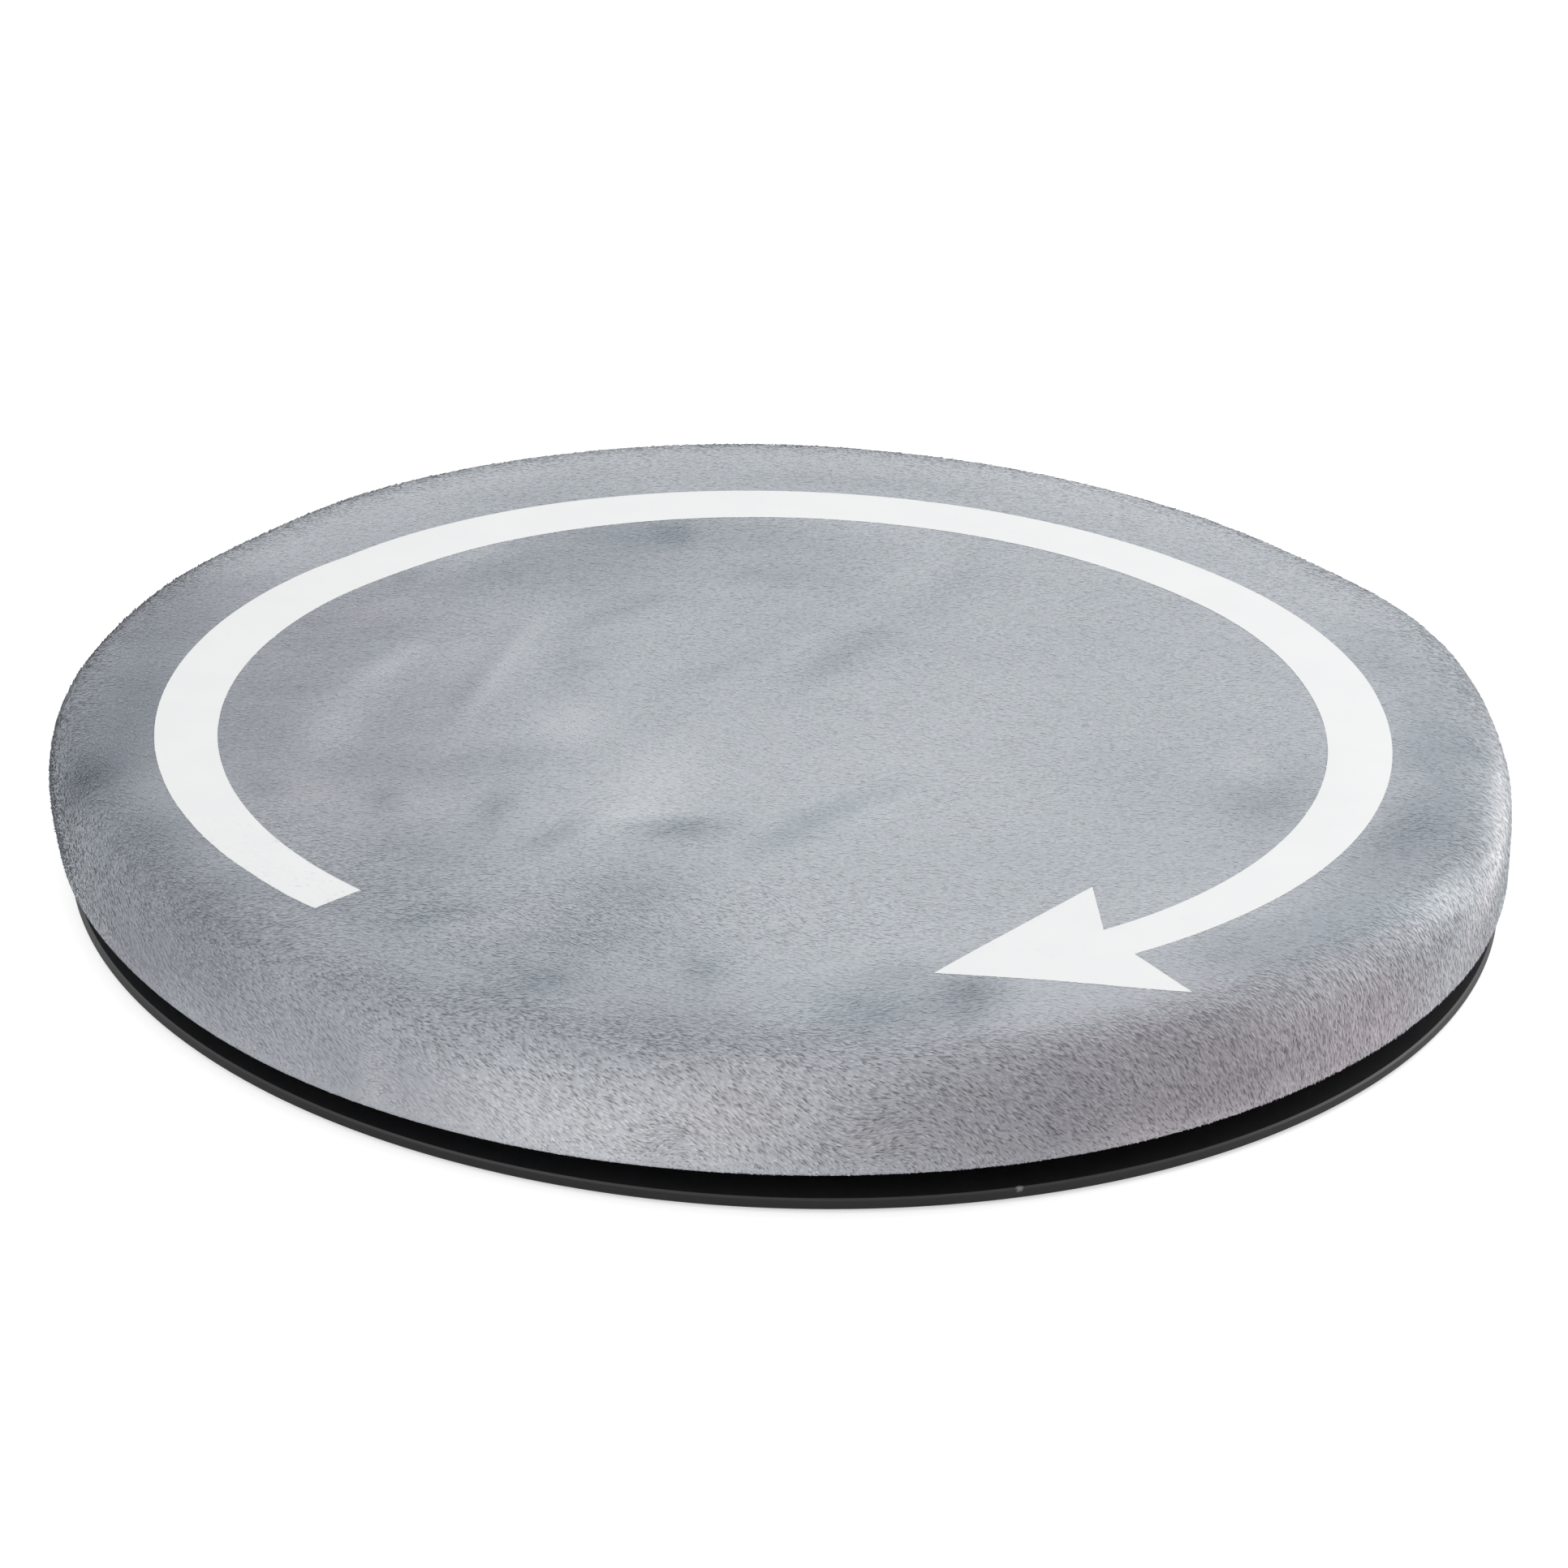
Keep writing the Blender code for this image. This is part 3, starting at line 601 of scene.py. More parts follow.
for vertex, (place, outward) in zip(blown.data.vertices, start):
    swell = (vertex.co - place).dot(outward)
    vertex.co = place + outward * rising(swell, 0, SWELL_LIMIT) * SWELL_LIMIT
graded(skin, "above_hem", WRAPPED_UP, upward=True)
wrap = skin.modifiers.new("wrap", "SHRINKWRAP")
wrap.target, wrap.vertex_group = blown, "above_hem"
applied(skin)
bpy.data.objects.remove(blown)


# Marks that a brush and hands left in the nap, on the cover laid out flat about its middle, so that the side
# lies from 206 to 226 mm out. Their paler and darker patches paint into the colour the sheen and shade of the
# nap's lie as the light falls on it, and their warm patches paint warm light. Each has its place (x, y), half
# length and half width in mm and heading in degrees; then by what share it lightens the colour as painted
# light, a negative share darkening it as painted shade, how much painted warm light it adds, how many
# degrees it turns the nap and how much it ruffles it. What a row leaves out at its end is 0.
NAP_AND_LIGHT_MARKS = (
    (-182, -10, 80, 24, 90, -0.5, 0, -35, -0.4),
    (-172, 62, 28, 16, 70, -0.2, 0.2),
    (-152, -118, 42, 26, 128, -0.3, 0, 0, 0.05),
    (-128, -10, 85, 38, 90, -0.4, 0.2),
    (-82, 92, 62, 30, 38, -0.25),
    (-70, -150, 62, 34, 165, -0.25, 0, 0, 0.25),
    (-135, -160, 60, 24, 130, -0.15, 0.2, -5, -0.4),
    (-20, -184, 50, 12, 0, -0.15, 0.2, 0, 0.4),
    (46, -164, 11, 8, 70, -0.3, 0, 35, 0.4),
    (22, -172, 20, 11, 20, -0.25, -0.2, 20, 0.3),
    (164, -60, 16, 9, 75, -0.15, 0, 25, 0.3),
    (174, -30, 60, 14, 85, -0.3, -0.2),
    (146, -118, 40, 18, 50, -0.35),
    (60, -206, 45, 22, 15, -0.3, 0.6, 0, 0.2),
    (120, -180, 45, 24, 34, -0.3, 1, 0, 0.2),
    (165, -140, 35, 20, 50, 0, 1),
    (194, -40, 50, 7, 85, 0.7, 0.2),
    (158, -112, 50, 8, 54, 0.4),
    (205, -85, 22, 16, 65, -0.05, 0.4, 0, -0.3),
    (-62, -208, 48, 15, 163, 0.25, 0.2, 10, -0.2),
    (-10, -208, 25, 12, 0, 0.05, 0.4),
    (-105, -190, 30, 12, 150, -0.15, 0, -10, -0.4),
    (85, 165, 60, 22, 152, 0.1),
    (-37, 112, 10, 6, 105, -0.2, -0.4, 40, 0.3),
    (-50, 107, 12, 8, 0, -0.1, -0.2),
    (-112, 14, 18, 5, 65, 0.2, 0, -25),
    (-60, -20, 18, 11, 90, 0.15, 0, -20),
    (-38, -58, 36, 13, 72, 0.15),
    (-28, -80, 13, 7, 10, -0.25, -0.2, 30, 0.3),
    (-42, -118, 30, 20, 80, -0.2),
    (-124, -30, 18, 9, 80, 0.3),
    (-95, -100, 36, 22, 60, -0.2),
    (-10, 115, 60, 16, 0, -0.1),
    (-72, -172, 16, 12, 60, -0.1, 0, 20, 0.3),
    (88, -176, 48, 9, 27, -0.15, 0.4),
    (120, -192, 60, 8, 32, 0.3),
    (-166, -88, 22, 12, 115, -0.25),
    (-182, -118, 32, 12, 123, -0.2, 0.2, -15, -0.6),
    (-100, -165, 20, 12, 150, -0.1),
    (28, 122, 16, 22, 60, 0.1),
    (-109, -189, 13, 4, 60, 0.15, 0, 50, 0.3),
    (-31, -219, 8, 6, 80, -0.1, 0, 60, 0.3),
    (27, -214, 10, 8, 0, -0.05, 0.2, 70, 0.6),
    (-128, -135, 14, 10, 140, 0.15, 0, 25, 0.3),
    (-79, 18, 40, 3.2, 76.5, 0.1, 0, -25),
    (-87, 12, 30, 3, 77, -0.15),
    (-50, 56, 20, 4.5, 46, -0.15),
    (-23, 18, 14, 4, 42, -0.15, -0.2),
    (2, 38, 25, 4, 61, 0.05, 0, -20),
    (-6, 86, 24, 9, 175, -0.15),
    (37, 86, 20, 9, 70, 0.15),
    (-118, 50, 20, 5, 52, 0.1, 0.2),
    (-116, 21, 9, 4, 60, -0.1, -0.2),
    (-112, 75, 8, 5, 50, -0.15),
    (-77, -73, 13, 5, 80, -0.25),
    (-60, -86, 14, 4, 58, -0.2),
    (-37, -72, 13, 5, 10, 0.1),
    (2, -78, 20, 5, 58, -0.15, -0.2),
    (20, -68, 13, 5, 42, 0.1),
    (-140, -62, 10, 6, 120, -0.15),
    (-125, -66, 8, 8, 0, 0.1, 0.2),
    (-106, -69, 10, 4, 85, -0.2),
    (-90, -134, 16, 5, 25, -0.15, -0.2),
    (-71, -135, 12, 6, 30, 0.1, 0.2),
    (-134, -129, 9, 6, 140, 0.1),
    (-58, -164, 9, 6, 60, -0.2, -0.2),
    (-20, -158, 9, 6, 80, -0.2, -0.2),
    (5, -176, 15, 6, 10, 0.15, -0.2),
    (27, -155, 10, 5, 20, -0.15),
    (-187, -54, 16, 13, 100, -0.5),
    (124, -32, 10, 9, 90, 0.15),
    (168, -37, 9, 6, 80, 0.15, 0.2),
    (146, -113, 22, 7, 45, 0.1, -0.4),
    (173, -93, 18, 6, 62, 0.4),
    (154, -74, 16, 8, 62, -0.2),
    (113, -133, 17, 9, 30, -0.15),
    (166, 46, 20, 13, 100, -0.15),
    (186, -9, 9, 6, 90, -0.15, -0.2),
    (10, 156, 40, 8, 0, -0.1),
    (-78, 142, 26, 9, 22, -0.1),
    (167, 63, 14, 2, 178, -0.1),
    (12, 28, 24, 6, 60, -0.15),
    (40, 78, 28, 10, 70, -0.15),
    (18, -63, 20, 6, 50, -0.15, -0.2),
    (128, -50, 26, 14, 75, -0.2),
    (-60, 22, 24, 8, 80, -0.2),
    (-82, -46, 26, 12, 20, -0.15),
    (30, -20, 70, 50, 60, 0.15),
    (-95, 93, 18, 8, 45, 0.25),
    (-57, 32, 16, 4, 78, 0.1),
    (-52, 86, 30, 14, 62, -0.1),
    (-120, -2, 26, 13, 75, 0.25),
    (-120, -112, 50, 22, 140, 0.05, 0, 0, 0.4),
    (-30, -128, 65, 24, 3, 0.1, 0, 0, 0.4),
    (30, 10, 140, 130, 0, -0.15),
)


def nap_and_painted_light(mesh):
    """Keeps the marks' painted light and shade, painted warm light, turn and ruffle as attributes of the skin.
    """
    places = np.empty(len(mesh.vertices) * 3, np.float32)
    mesh.vertices.foreach_get("co", places)
    x, y, z = places.reshape(-1, 3).T
    radius = np.hypot(x, y) + 1e-9
    flat_radius = COVER_RADIUS - SHOULDER_IN - SHOULDER_ROUND
    below = COVER_BOTTOM + SHOULDER_RISE - SHOULDER_ROUND - z
    over = SHOULDER_ROUND * np.arctan2(np.maximum(radius - flat_radius, 0), np.maximum(-below, 0))
    laid_out = (np.minimum(radius, flat_radius) + over + np.maximum(below, 0)) * 1000
    x, y = x / radius * laid_out, y / radius * laid_out
    tone, warm, turn = np.ones_like(x), np.zeros_like(x), np.zeros_like(x)
    ruffled = np.clip((laid_out - SIDE_RUFFLED) / SIDE_BLEND, 0, 1)
    for mark in NAP_AND_LIGHT_MARKS:
        mark_x, mark_y, half_length, half_width, heading, *changes = mark + (0,) * (9 - len(mark))
        paler, warmer, turned, ruffle = changes
        heading = radians(heading)
        along = ((x - mark_x) * cos(heading) + (y - mark_y) * sin(heading)) / half_length
        beside = ((y - mark_y) * cos(heading) - (x - mark_x) * sin(heading)) / half_width
        share = np.exp(-(along ** 2 + beside ** 2))
        # Painted light and shade, and painted warm light; the turn and the ruffle lay the locks themselves.
        tone *= 1 + share * paler
        warm += share * warmer
        turn += share * radians(turned)
        ruffled += share * ruffle
    for name, values in (("nap_painted_light", tone), ("painted_warm_light", warm), ("nap_turn", turn), ("ruffled", ruffled)):
        mesh.attributes.new(name, "FLOAT", "POINT").data.foreach_set("value", values.astype(np.float32))


def attribute(tree, name):
    """The value of a named attribute of the piece."""
    return add(tree, "ShaderNodeAttribute", {"attribute_name": name}).outputs["Fac"]


def plush_colour(tree, shade):
    """Blue-grey polyester pile, lighter and darker where the marks paint the sheen and shade of the nap's lie
    into its colour, and warmer where they paint warm light. What is darker in painted shade is bluer, and the
    nap is more blotched there."""
    place = add(tree, "ShaderNodeTexCoord").outputs["Object"]
    streaks = add(tree, "ShaderNodeMapping", Vector=place, Rotation=(0, 0, radians(-62)), Scale=(1.0, 2.2, 1.0))
    streaks = add(tree, "ShaderNodeTexNoise", Vector=streaks, Scale=14.0, Detail=4.0, Roughness=0.55)
    streaks = add(tree, "ShaderNodeMapRange", Value=streaks, From_Min=0.3, From_Max=0.7, To_Min=-1.0)
    nap_painted_light = attribute(tree, "nap_painted_light")
    blotch = add(tree, "ShaderNodeMapRange", Value=nap_painted_light, From_Min=0.7, To_Min=0.09, To_Max=0.02)
    blotch = add(tree, "ShaderNodeMath", {"operation": "MULTIPLY"}, Value_0=blotch, Value_1=streaks)
    tone = add(tree, "ShaderNodeMath", {"operation": "MULTIPLY_ADD"}, Value_0=blotch, Value_1=nap_painted_light,
               Value_2=nap_painted_light)
    # Painted warm light over the cool grey, then the marks' painted light and shade, bluer where darker.
    hue = add(tree, "ShaderNodeMix", {"data_type": "RGBA", "clamp_factor": False},
              Factor_0=attribute(tree, "painted_warm_light"), A_6=colour("C8CDD3"), B_7=colour("CFC8CE"))
    red, blue = (add(tree, "ShaderNodeMath", {"operation": "POWER"}, Value_0=tone, Value_1=power)
                 for power in (1.06, 0.93))
    toned = add(tree, "ShaderNodeCombineXYZ", X=red, Y=tone, Z=blue)
    toned = add(tree, "ShaderNodeVectorMath", {"operation": "MULTIPLY"}, Vector_0=hue.outputs[2],
                Vector_1=toned)
    return add(tree, "ShaderNodeVectorMath", {"operation": "SCALE"}, Vector_0=toned, Scale=shade)


def plush_back():
    """The knit that the pile stands on: the same grey, dimmed by a tenth as painted shade between the locks."""
    made, tree = bare_material("flannel_plush_back")
    shader = add(tree, "ShaderNodeBsdfPrincipled", Base_Color=plush_colour(tree, 0.9), Roughness=0.9)
    return surfaced(made, shader)


smooth = skin.modifiers.new("smooth", "SUBSURF")
smooth.levels = smooth.render_levels = 1
applied(skin)
nap_and_painted_light(skin.data)
ground = linked("ground", skin.data.copy())
thick = skin.modifiers.new("fabric", "SOLIDIFY")
thick.thickness, thick.offset = FABRIC, -1
applied(skin)
skin.data.materials.append(plush_back())
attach(skin, "top")
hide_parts("cover")


# Hem elastic: a flat band of black woven rubber elastic, sewn inside the hem's free edge under the top disc.
low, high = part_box("hem_elastic")
BAND_OUTER, BAND_WIDTH, BAND_ROUND = high.x, 0.008, 0.0003
BAND_LOW, BAND_HIGH = low.z, high.z
RIB = 0.0012


def woven_elastic():
    """Woven elastic: black ribs across the band, with the rubber showing dull between them."""
    made, tree, place = patterned("woven_black_elastic")
    turn = add(tree, "ShaderNodeTexGradient", {"gradient_type": "RADIAL"}, Vector=place)
    count = round(2 * pi * BAND_OUTER / RIB)
    ribs = add(tree, "ShaderNodeMath", {"operation": "MULTIPLY"}, Value_0=turn.outputs[1],
               Value_1=2 * pi * count)
    wave = add(tree, "ShaderNodeMath", {"operation": "SINE"}, Value_0=ribs)
    shade = add(tree, "ShaderNodeMapRange", Value=wave, From_Min=-1.0)
    mixed = add(tree, "ShaderNodeMix", {"data_type": "RGBA"}, Factor_0=shade, A_6=colour("141416"),
                B_7=colour("2C2D30"))
    bump = add(tree, "ShaderNodeBump", Strength=0.6, Distance=0.0003, Height=wave)
    shader = add(tree, "ShaderNodeBsdfPrincipled", Base_Color=mixed.outputs[2], Roughness=0.85, Normal=bump)
    return surfaced(made, shader)


inner, edge = BAND_OUTER - BAND_WIDTH, BAND_ROUND
section = [(inner + edge, BAND_LOW), (BAND_OUTER - edge, BAND_LOW), (BAND_OUTER, BAND_LOW + edge),
           (BAND_OUTER, BAND_HIGH - edge), (BAND_OUTER - edge, BAND_HIGH), (inner + edge, BAND_HIGH),
           (inner, BAND_HIGH - edge), (inner, BAND_LOW + edge)]
band = spun("hem_band", section, 240)
band.data.materials.append(woven_elastic())
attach(band, "top")
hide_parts("hem_elastic")


# Printed arrow: white ink pressed into the pile, an open oval ring about the seat that ends in an arrowhead.
# The stencil hangs over the seat with the arrow's outline, and the patch under the white pile is cut from it.
ARROW_CENTRE = Vector((-0.0038, -0.0092))
ARROW_LONG, ARROW_SHORT = 0.1604, 0.1511
ARROW_TURN, SPREAD_TURN = radians(18), radians(70)
INNER_EDGE, OUTER_EDGE = (-0.00978, -0.00548, -0.00033), (0.00690, -0.00158, -0.00134)
ARROW_NECK, TAIL_IN, TAIL_OUT = radians(-73.7), radians(210.8), radians(209.7)
HEAD_LENGTH, HEAD_HALF_WIDTH, HEAD_BARB_BACK = 0.0508, 0.0276, 0.0073
HEAD_TURN = radians(8.5)
STENCIL_HEIGHT, STENCIL_EDGE = 0.06, 0.006
RING_STEPS, RING_STRIPS = 192, 6


def arrow_line(t):
    """A point of the ring's centre line and the unit vector out of the oval there."""
    turn = Matrix.Rotation(ARROW_TURN, 2)
    place = turn @ Vector((ARROW_LONG * cos(t), ARROW_SHORT * sin(t))) + ARROW_CENTRE
    return place, (turn @ Vector((ARROW_SHORT * cos(t), ARROW_LONG * sin(t)))).normalized()


def edge_off(t, edge):
    """How far one of the ring's edges lies out from its centre line, as the print widens towards the back."""
    return edge[0] + edge[1] * cos(t - SPREAD_TURN) + edge[2] * cos(2 * (t - SPREAD_TURN))


def stencil_corner(shape, flat):
    """A corner of the stencil over a place on the seat."""
    return shape.verts.new((flat.x, flat.y, STENCIL_HEIGHT))


shape = bmesh.new()
rows = []
for k in range(RING_STEPS + 1):
    row = []
    for j in range(RING_STRIPS + 1):
        end = TAIL_IN + (TAIL_OUT - TAIL_IN) * j / RING_STRIPS
        t = ARROW_NECK + (end - ARROW_NECK) * k / RING_STEPS
        place, outward = arrow_line(t)
        inner, outer = edge_off(t, INNER_EDGE), edge_off(t, OUTER_EDGE)
        row.append(stencil_corner(shape, place + outward * (inner + (outer - inner) * j / RING_STRIPS)))
    rows.append(row)
for near, far in zip(rows, rows[1:]):
    for j in range(RING_STRIPS):
        shape.faces.new((near[j], near[j + 1], far[j + 1], far[j]))
place, outward = arrow_line(ARROW_NECK)
sideways = Matrix.Rotation(-HEAD_TURN, 2) @ outward
ahead = Vector((sideways.y, -sideways.x))
tip = stencil_corner(shape, place + ahead * HEAD_LENGTH)
barb_in, barb_out = (stencil_corner(shape, place - ahead * HEAD_BARB_BACK + sideways * side * HEAD_HALF_WIDTH)
                     for side in (-1, 1))
neck = rows[0]
head = [shape.faces.new((neck[0], barb_in, tip)), shape.faces.new((barb_out, neck[-1], tip))]
head += [shape.faces.new((neck[j + 1], neck[j], tip)) for j in range(RING_STRIPS)]
bmesh.ops.triangulate(shape, faces=head)
for _ in range(3):
    coarse = [edge for edge in shape.edges if edge.calc_length() > STENCIL_EDGE]
    bmesh.ops.subdivide_edges(shape, edges=coarse, cuts=1)
    bmesh.ops.triangulate(shape, faces=[face for face in shape.faces if len(face.verts) > 4])
edging = shape.copy()
bmesh.ops.delete(edging, geom=edging.faces[:], context="FACES_KEEP_BOUNDARY")
stencil, stencil_edge = to_object("arrow_stencil", shape), to_object("arrow_stencil_edge", edging)


# Pile: locks of fibre 1.8 mm long and half a millimetre wide, two or three to the square millimetre. Each leans
# over its neighbour, and the whole nap was brushed one way and then stroked by hands. The ink lies on what is
# on top.
LOCK_LENGTH, LOCK_WIDTH, LOCK_LIFT = 0.0018, 0.00055, 0.00060
LOCK_ROOT = (-0.0003, 0, -0.0002)
LOCK_WAIST, WAIST_LIFT = 0.45, 0.3
INKED_WIDTH, INKED_LIFT = 1.3, 0.5
LOCK_SPACING, LOCKS_AT_MOST = 0.0005, 6.0e6
FLAT_LIFT, RUFFLED_LIFT = 0.04, 0.4
FLAT_DARK, RUFFLED_DARK = 0.12, 0.55
DARK_WIDTH, DARK_LENGTH = 0.5, 0.95
LAY, DRIFT, JITTER = radians(-36), 0.4, 0.22
ROCK, FLAT_ROCK = Vector((0.25, 0.10, 0)), 0.6
HEM_TRIM, TRIM_LOW, TRIM_HIGH = 0.4, 0.001, 0.006
PATCH_HEIGHT = 0.00012
INK_BLEED, INK_RAGGED = 0.00012, 0.0006
PILE_PIECES = 6
TUCKED_IN, TUCKED_BELOW = 0.188, 0.014
PRINT_ROWS = 0.7


def lock_of_fibre(name, width, lift):
    """One lock: a folded leaf with its root in the skin and its tip lifted."""
    shape = bmesh.new()
    waist, raised = LOCK_LENGTH * LOCK_WAIST, lift * WAIST_LIFT
    corners = (LOCK_ROOT, (waist, width / 2, raised), (LOCK_LENGTH, 0, lift), (waist, -width / 2, raised))
    root, left, tip, right = (shape.verts.new(corner) for corner in corners)
    shape.faces.new((root, tip, left))
    shape.faces.new((root, right, tip))
    made = linked(name, meshed(name, shape))
    made.data.shade_smooth()
    made.hide_render = True
    return made


def painted_gap_shade(tree, tint, ruffled):
    """How much painted shade a lock carries, standing for the dark gaps in the pile: one in eight does where
    the nap is flat, over half where it is ruffled."""
    bright = add(tree, "ShaderNodeMapRange", Value=ruffled, To_Min=1 - FLAT_DARK, To_Max=1 - RUFFLED_DARK)
    return add(tree, "ShaderNodeMapRange", Value=tint, From_Min=bright)


def lock_turn(tree, place, normal, ruffled):
    """How a lock lies: along the nap, which drifts and which the marks turn, on the slope of the skin, and
    rocked a little, less so where the nap is flat."""
    drift = add(tree, "ShaderNodeTexNoise", Vector=place, Scale=14.0, Detail=2.0)
    swing = add(tree, "ShaderNodeMapRange", Value=drift, From_Min=0.25, From_Max=0.75, To_Min=LAY - DRIFT,
                To_Max=LAY + DRIFT)
    jitter = add(tree, "FunctionNodeRandomValue", Min_2=-JITTER, Max_3=JITTER, Seed=3).outputs[1]
    turn = add(tree, "ShaderNodeMath", Value_0=swing, Value_1=jitter)
    turned_by = add(tree, "GeometryNodeInputNamedAttribute", Name="nap_turn")
    turn = add(tree, "ShaderNodeMath", Value_0=turn, Value_1=turned_by)
    heading = add(tree, "FunctionNodeEulerToRotation", Euler=add(tree, "ShaderNodeCombineXYZ", Z=turn))
    stood = add(tree, "FunctionNodeAlignRotationToVector", {"axis": "Z"}, Rotation=heading, Vector=normal)
    rock = add(tree, "FunctionNodeRandomValue", {"data_type": "FLOAT_VECTOR"}, Min_0=-ROCK, Max_1=ROCK, Seed=5)
    loose = add(tree, "ShaderNodeMapRange", Value=ruffled, To_Min=FLAT_ROCK)
    rock = add(tree, "ShaderNodeVectorMath", {"operation": "SCALE"}, Vector_0=rock, Scale=loose)
    rock = add(tree, "FunctionNodeEulerToRotation", Euler=rock)
    return add(tree, "FunctionNodeRotateRotation", {"rotation_space": "LOCAL"}, Value_0=stood, Value_1=rock)


def lock_size(tree, place, tint, ruffled):
    """How a lock is stretched along, across and upward. One that carries painted shade is thin and lifted, the
    nap rises in clumps, a few locks stray upward, and the hem is trimmed short."""
    height = add(tree, "ShaderNodeSeparateXYZ", Vector=place).outputs["Z"]
    trimmed = add(tree, "ShaderNodeMapRange", Value=height, From_Min=COVER_BOTTOM + TRIM_LOW,
                  From_Max=COVER_BOTTOM + TRIM_HIGH, To_Min=HEM_TRIM)
    dark = painted_gap_shade(tree, tint, ruffled)
    thin, long = (add(tree, "ShaderNodeMapRange", Value=dark, From_Max=0.3, To_Min=1.0, To_Max=least)
                  for least in (DARK_WIDTH, DARK_LENGTH))
    long = add(tree, "ShaderNodeMath", {"operation": "MULTIPLY"}, Value_0=long, Value_1=trimmed)
    clumps = add(tree, "ShaderNodeTexNoise", Vector=place, Scale=55.0, Detail=3.0)
    clumps = add(tree, "ShaderNodeMapRange", Value=clumps, From_Min=0.3, From_Max=0.7, To_Min=0.75, To_Max=1.15)
    stray = add(tree, "FunctionNodeRandomValue", Min_2=0.0, Max_3=1.0, Seed=17).outputs[1]
    stray = add(tree, "ShaderNodeMath", {"operation": "POWER"}, Value_0=stray, Value_1=4.0)
    stray = add(tree, "ShaderNodeMapRange", Value=stray, To_Min=0.6, To_Max=2.4)
    stray = add(tree, "ShaderNodeMath", {"operation": "ADD"}, Value_0=stray, Value_1=dark)
    rise = add(tree, "ShaderNodeMapRange", Value=ruffled, To_Min=FLAT_LIFT, To_Max=RUFFLED_LIFT)
    for factor in (clumps, stray, trimmed):
        rise = add(tree, "ShaderNodeMath", {"operation": "MULTIPLY"}, Value_0=rise, Value_1=factor)
    size = add(tree, "ShaderNodeCombineXYZ", X=long, Y=thin, Z=rise)
    grown = add(tree, "FunctionNodeRandomValue", Min_2=0.8, Max_3=1.25, Seed=9).outputs[1]
    return add(tree, "ShaderNodeVectorMath", {"operation": "SCALE"}, Vector_0=size, Scale=grown)


def ink_distance(tree, place, covered):
    """How far a place is from the stencil's edge as seen from above, negative under the stencil."""
    flat = add(tree, "ShaderNodeVectorMath", {"operation": "MULTIPLY"}, Vector_0=place, Vector_1=(1, 1, 0))
    flat = add(tree, "ShaderNodeVectorMath", Vector_0=flat, Vector_1=(0, 0, STENCIL_HEIGHT))
    edging = add(tree, "GeometryNodeObjectInfo", Object=stencil_edge).outputs["Geometry"]
    near = add(tree, "GeometryNodeProximity", {"target_element": "EDGES"}, Geometry=edging,
               Sample_Position=flat)
    inside = add(tree, "ShaderNodeMapRange", Value=covered, To_Min=1.0, To_Max=-1.0)
    return add(tree, "ShaderNodeMath", {"operation": "MULTIPLY"}, Value_0=near.outputs["Distance"],
               Value_1=inside)


def laying(lock, patch=None):
    """Geometry nodes that sow locks over a skin and lay them along the nap: outside the stencil, or inside it
    where there is a patch to lie on. Each corner of a lock keeps its distance from the stencil's edge."""
    tree = bpy.data.node_groups.new("lay_pile", "GeometryNodeTree")
    tree.interface.new_socket("Skin", in_out="INPUT", socket_type="NodeSocketGeometry")
    tree.interface.new_socket("Pile", in_out="OUTPUT", socket_type="NodeSocketGeometry")
    sown = add(tree, "GeometryNodeDistributePointsOnFaces", {"distribute_method": "POISSON"},
               Mesh=add(tree, "NodeGroupInput"), Distance_Min=LOCK_SPACING, Density_Max=LOCKS_AT_MOST, Seed=7)
    place = add(tree, "GeometryNodeInputPosition")
    mask = add(tree, "GeometryNodeObjectInfo", Object=stencil).outputs["Geometry"]
    covered = add(tree, "GeometryNodeRaycast", Target_Geometry=mask, Source_Position=place,
                  Ray_Direction=(0, 0, 1), Ray_Length=0.1).outputs["Is Hit"]
    parted = add(tree, "GeometryNodeSeparateGeometry", Geometry=sown, Selection=covered)
    ruffled = add(tree, "GeometryNodeInputNamedAttribute", Name="ruffled")
    # A random pick for each lock: high picks get painted shade, low ones a painted highlight, and it sets the
    # lock's size.
    tint = add(tree, "FunctionNodeRandomValue", Min_2=0.0, Max_3=1.0, Seed=13).outputs[1]
    one = add(tree, "GeometryNodeObjectInfo", Object=lock).outputs["Geometry"]
    laid = add(tree, "GeometryNodeInstanceOnPoints", Points=parted.outputs[0 if patch else 1], Instance=one,
               Rotation=lock_turn(tree, place, sown.outputs["Normal"], ruffled),
               Scale=lock_size(tree, place, tint, ruffled))
    tinted = add(tree, "GeometryNodeStoreNamedAttribute", {"data_type": "FLOAT", "domain": "INSTANCE"},
                 Geometry=laid, Name="tint", Value=tint)
    real = add(tree, "GeometryNodeRealizeInstances", Geometry=tinted)
    real = add(tree, "GeometryNodeStoreNamedAttribute", {"data_type": "FLOAT", "domain": "POINT"},
               Geometry=real, Name="ink_edge", Value=ink_distance(tree, place, covered))
    joined = add(tree, "GeometryNodeJoinGeometry")
    if patch:
        under = add(tree, "GeometryNodeObjectInfo", Object=patch)
        tree.links.new(under.outputs["Geometry"], joined.inputs[0])
    tree.links.new(real.outputs[0], joined.inputs[0])
    add(tree, "NodeGroupOutput", Pile_0=joined)
    return tree


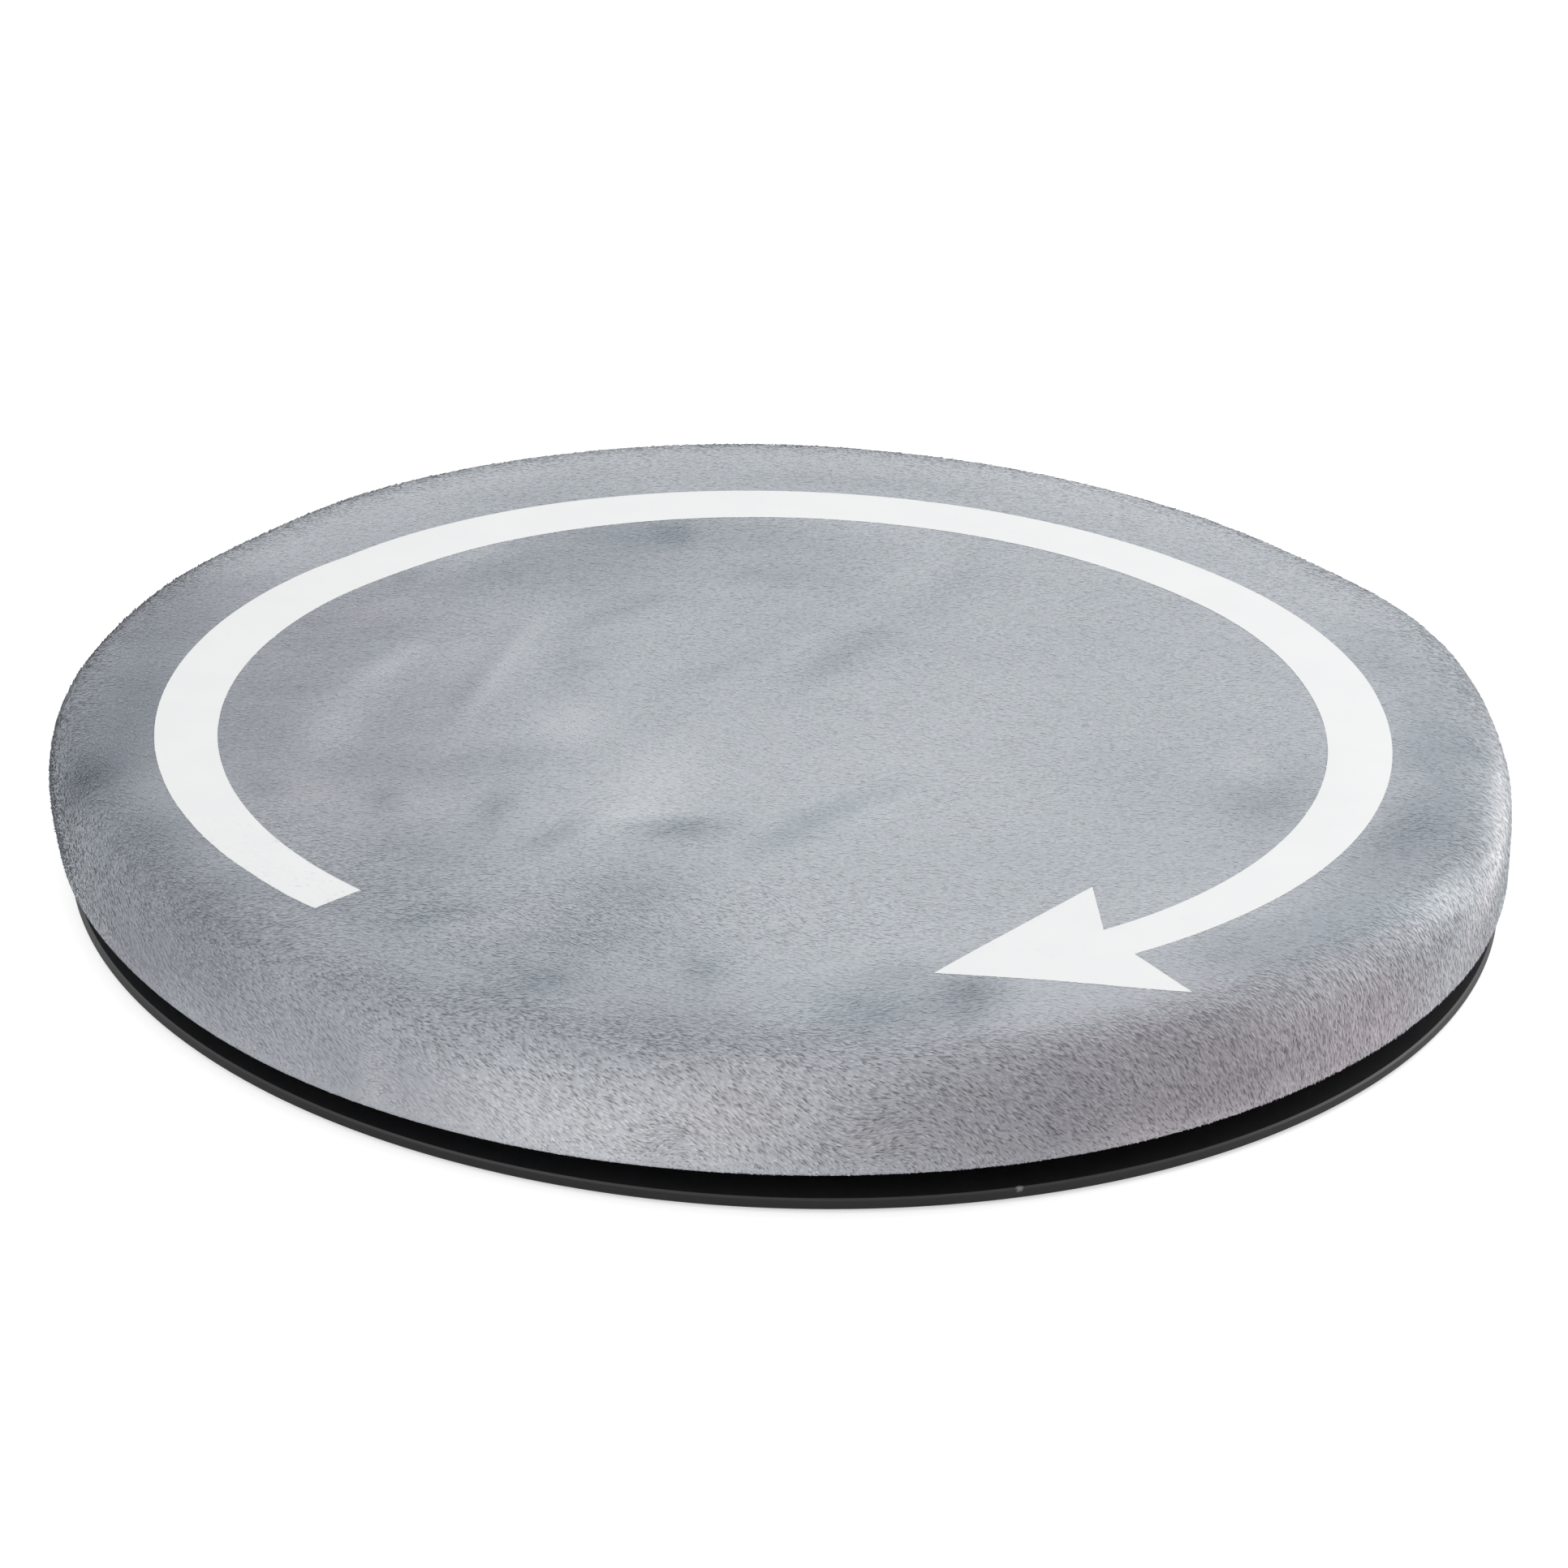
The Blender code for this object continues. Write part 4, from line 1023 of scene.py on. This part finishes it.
def printed_plush():
    """Cut polyester pile, soft and matt, with a pale sheen at grazing light. One lock in eight carries a streak
    of painted shade, standing for the dark gaps in the pile, where the nap is flat, and over half where it is
    ruffled; a few others carry a painted highlight, brighter where it is ruffled. The ink stuck the fibres
    down, so that it reads as one flat white band."""
    made, tree, place = patterned("printed_flannel_plush")
    tint, ruffled = attribute(tree, "tint"), attribute(tree, "ruffled")
    # Painted shade on the locks picked for it, deeper where the nap is ruffled, and a painted highlight on a
    # few.
    depth = add(tree, "ShaderNodeMapRange", Value=ruffled, To_Min=-0.05, To_Max=-0.70)
    pale = add(tree, "ShaderNodeMapRange", Value=tint, From_Min=0.2, From_Max=0.0)
    gain = add(tree, "ShaderNodeMapRange", Value=ruffled, To_Min=0.02, To_Max=0.14)
    shade = add(tree, "ShaderNodeMath", {"operation": "MULTIPLY_ADD"}, Value_0=painted_gap_shade(tree, tint, ruffled),
                Value_1=depth, Value_2=1.0)
    shade = add(tree, "ShaderNodeMath", {"operation": "MULTIPLY_ADD"}, Value_0=pale, Value_1=gain,
                Value_2=shade)
    cloud = add(tree, "ShaderNodeTexNoise", Vector=place, Scale=60.0, Detail=3.0)
    ink = add(tree, "ShaderNodeMix", {"data_type": "RGBA"}, Factor_0=cloud, A_6=colour("F3F4F5"),
              B_7=colour("FAFBFB"))
    ragged = add(tree, "ShaderNodeTexNoise", Vector=place, Scale=1500.0)
    inked = add(tree, "ShaderNodeMath", {"operation": "MULTIPLY_ADD"}, Value_0=ragged, Value_1=2 * INK_RAGGED,
                Value_2=attribute(tree, "ink_edge"))
    inked = add(tree, "ShaderNodeMapRange", Value=inked, From_Min=INK_RAGGED + INK_BLEED,
                From_Max=INK_RAGGED - INK_BLEED)
    mixed = add(tree, "ShaderNodeMix", {"data_type": "RGBA"}, Factor_0=inked, A_6=plush_colour(tree, shade),
                B_7=ink.outputs[2])
    shader = add(tree, "ShaderNodeBsdfPrincipled", Base_Color=mixed.outputs[2], Roughness=0.75,
                 Sheen_Weight=0.3, Sheen_Roughness=0.4)
    return surfaced(made, shader)


def baking_cells(mesh, locks, height):
    """A UV map with a cell for each lock in rows up to a height, and over them the rest of the mesh seen from
    above. The last rows hold nothing else, so that a baked picture of the pile keeps each lock's own
    colours."""
    columns = ceil(sqrt(locks / height))
    order = np.arange(locks)
    cells = np.stack((order % columns, order // columns), axis=1)[:, None]
    corners = np.array(((0.1, 0.5), (0.9, 0.5), (0.5, 0.9), (0.1, 0.5), (0.5, 0.1), (0.9, 0.5)))
    spots = ((cells + corners) / columns).reshape(-1, 2)
    corner_of = np.empty(len(mesh.loops), np.int32)
    mesh.loops.foreach_get("vertex_index", corner_of)
    places = np.empty(len(mesh.vertices) * 3, np.float32)
    mesh.vertices.foreach_get("co", places)
    plan = places.reshape(-1, 3)[corner_of[len(spots):], :2] / (2 * COVER_RADIUS) + 0.5
    plan[:, 1] = height + 0.01 + plan[:, 1] * (0.99 - height)
    everywhere = np.concatenate((spots, plan)).astype(np.float32)
    mesh.uv_layers.new(name="OFBake").data.foreach_set("uv", everywhere.ravel())


def laid_pile(name, sown_on, tree, finish):
    """The locks that a node tree lays over a skin, as a finished piece that turns with the top."""
    made = linked(name, sown_on)
    made.modifiers.new("lay_pile", "NODES").node_group = tree
    applied(made)
    made.data.materials.clear()
    made.data.materials.append(finish)
    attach(made, "top")
    return made


def sector(whole, number):
    """The part of the skin between two spokes, without what is tucked far under the hem."""
    shape = bmesh.new()
    shape.from_mesh(whole)
    wide = 2 * pi / PILE_PIECES
    unwanted = []
    for face in shape.faces:
        middle = face.calc_center_median()
        turn = atan2(middle.y, middle.x) % (2 * pi)
        tucked = middle.xy.length < TUCKED_IN and middle.z < TUCKED_BELOW
        if turn // wide != number or tucked:
            unwanted.append(face)
    bmesh.ops.delete(shape, geom=unwanted, context="FACES")
    return meshed("sector", shape)


grey_lock = lock_of_fibre("grey_lock", LOCK_WIDTH, LOCK_LIFT)
white_lock = lock_of_fibre("white_lock", LOCK_WIDTH * INKED_WIDTH, LOCK_LIFT * INKED_LIFT)
plush, tree = printed_plush(), laying(grey_lock)
for k in range(PILE_PIECES):
    pile = laid_pile(f"pile_{k + 1}", sector(ground.data, k), tree, plush)
    baking_cells(pile.data, len(pile.data.polygons) // 2, 1.0)

drop = stencil.modifiers.new("drop", "SHRINKWRAP")
drop.target, drop.wrap_method, drop.offset = ground, "PROJECT", PATCH_HEIGHT
drop.use_project_z, drop.use_positive_direction, drop.use_negative_direction = True, False, True
patch_mesh = bpy.data.meshes.new_from_object(stencil.evaluated_get(bpy.context.evaluated_depsgraph_get()))
stencil.modifiers.clear()
inside = patch_mesh.attributes.new("ink_edge", "FLOAT", "POINT")
inside.data.foreach_set("value", [-1.0] * len(patch_mesh.vertices))
patch = linked("ink_patch", patch_mesh)
arrow = laid_pile("arrow_white_print", ground.data.copy(), laying(white_lock, patch), plush)
baking_cells(arrow.data, (len(arrow.data.polygons) - len(patch_mesh.polygons)) // 2, PRINT_ROWS)
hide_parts("arrow_print")
for helper in (stencil, stencil_edge, patch, ground, grey_lock, white_lock):
    bpy.data.objects.remove(helper)
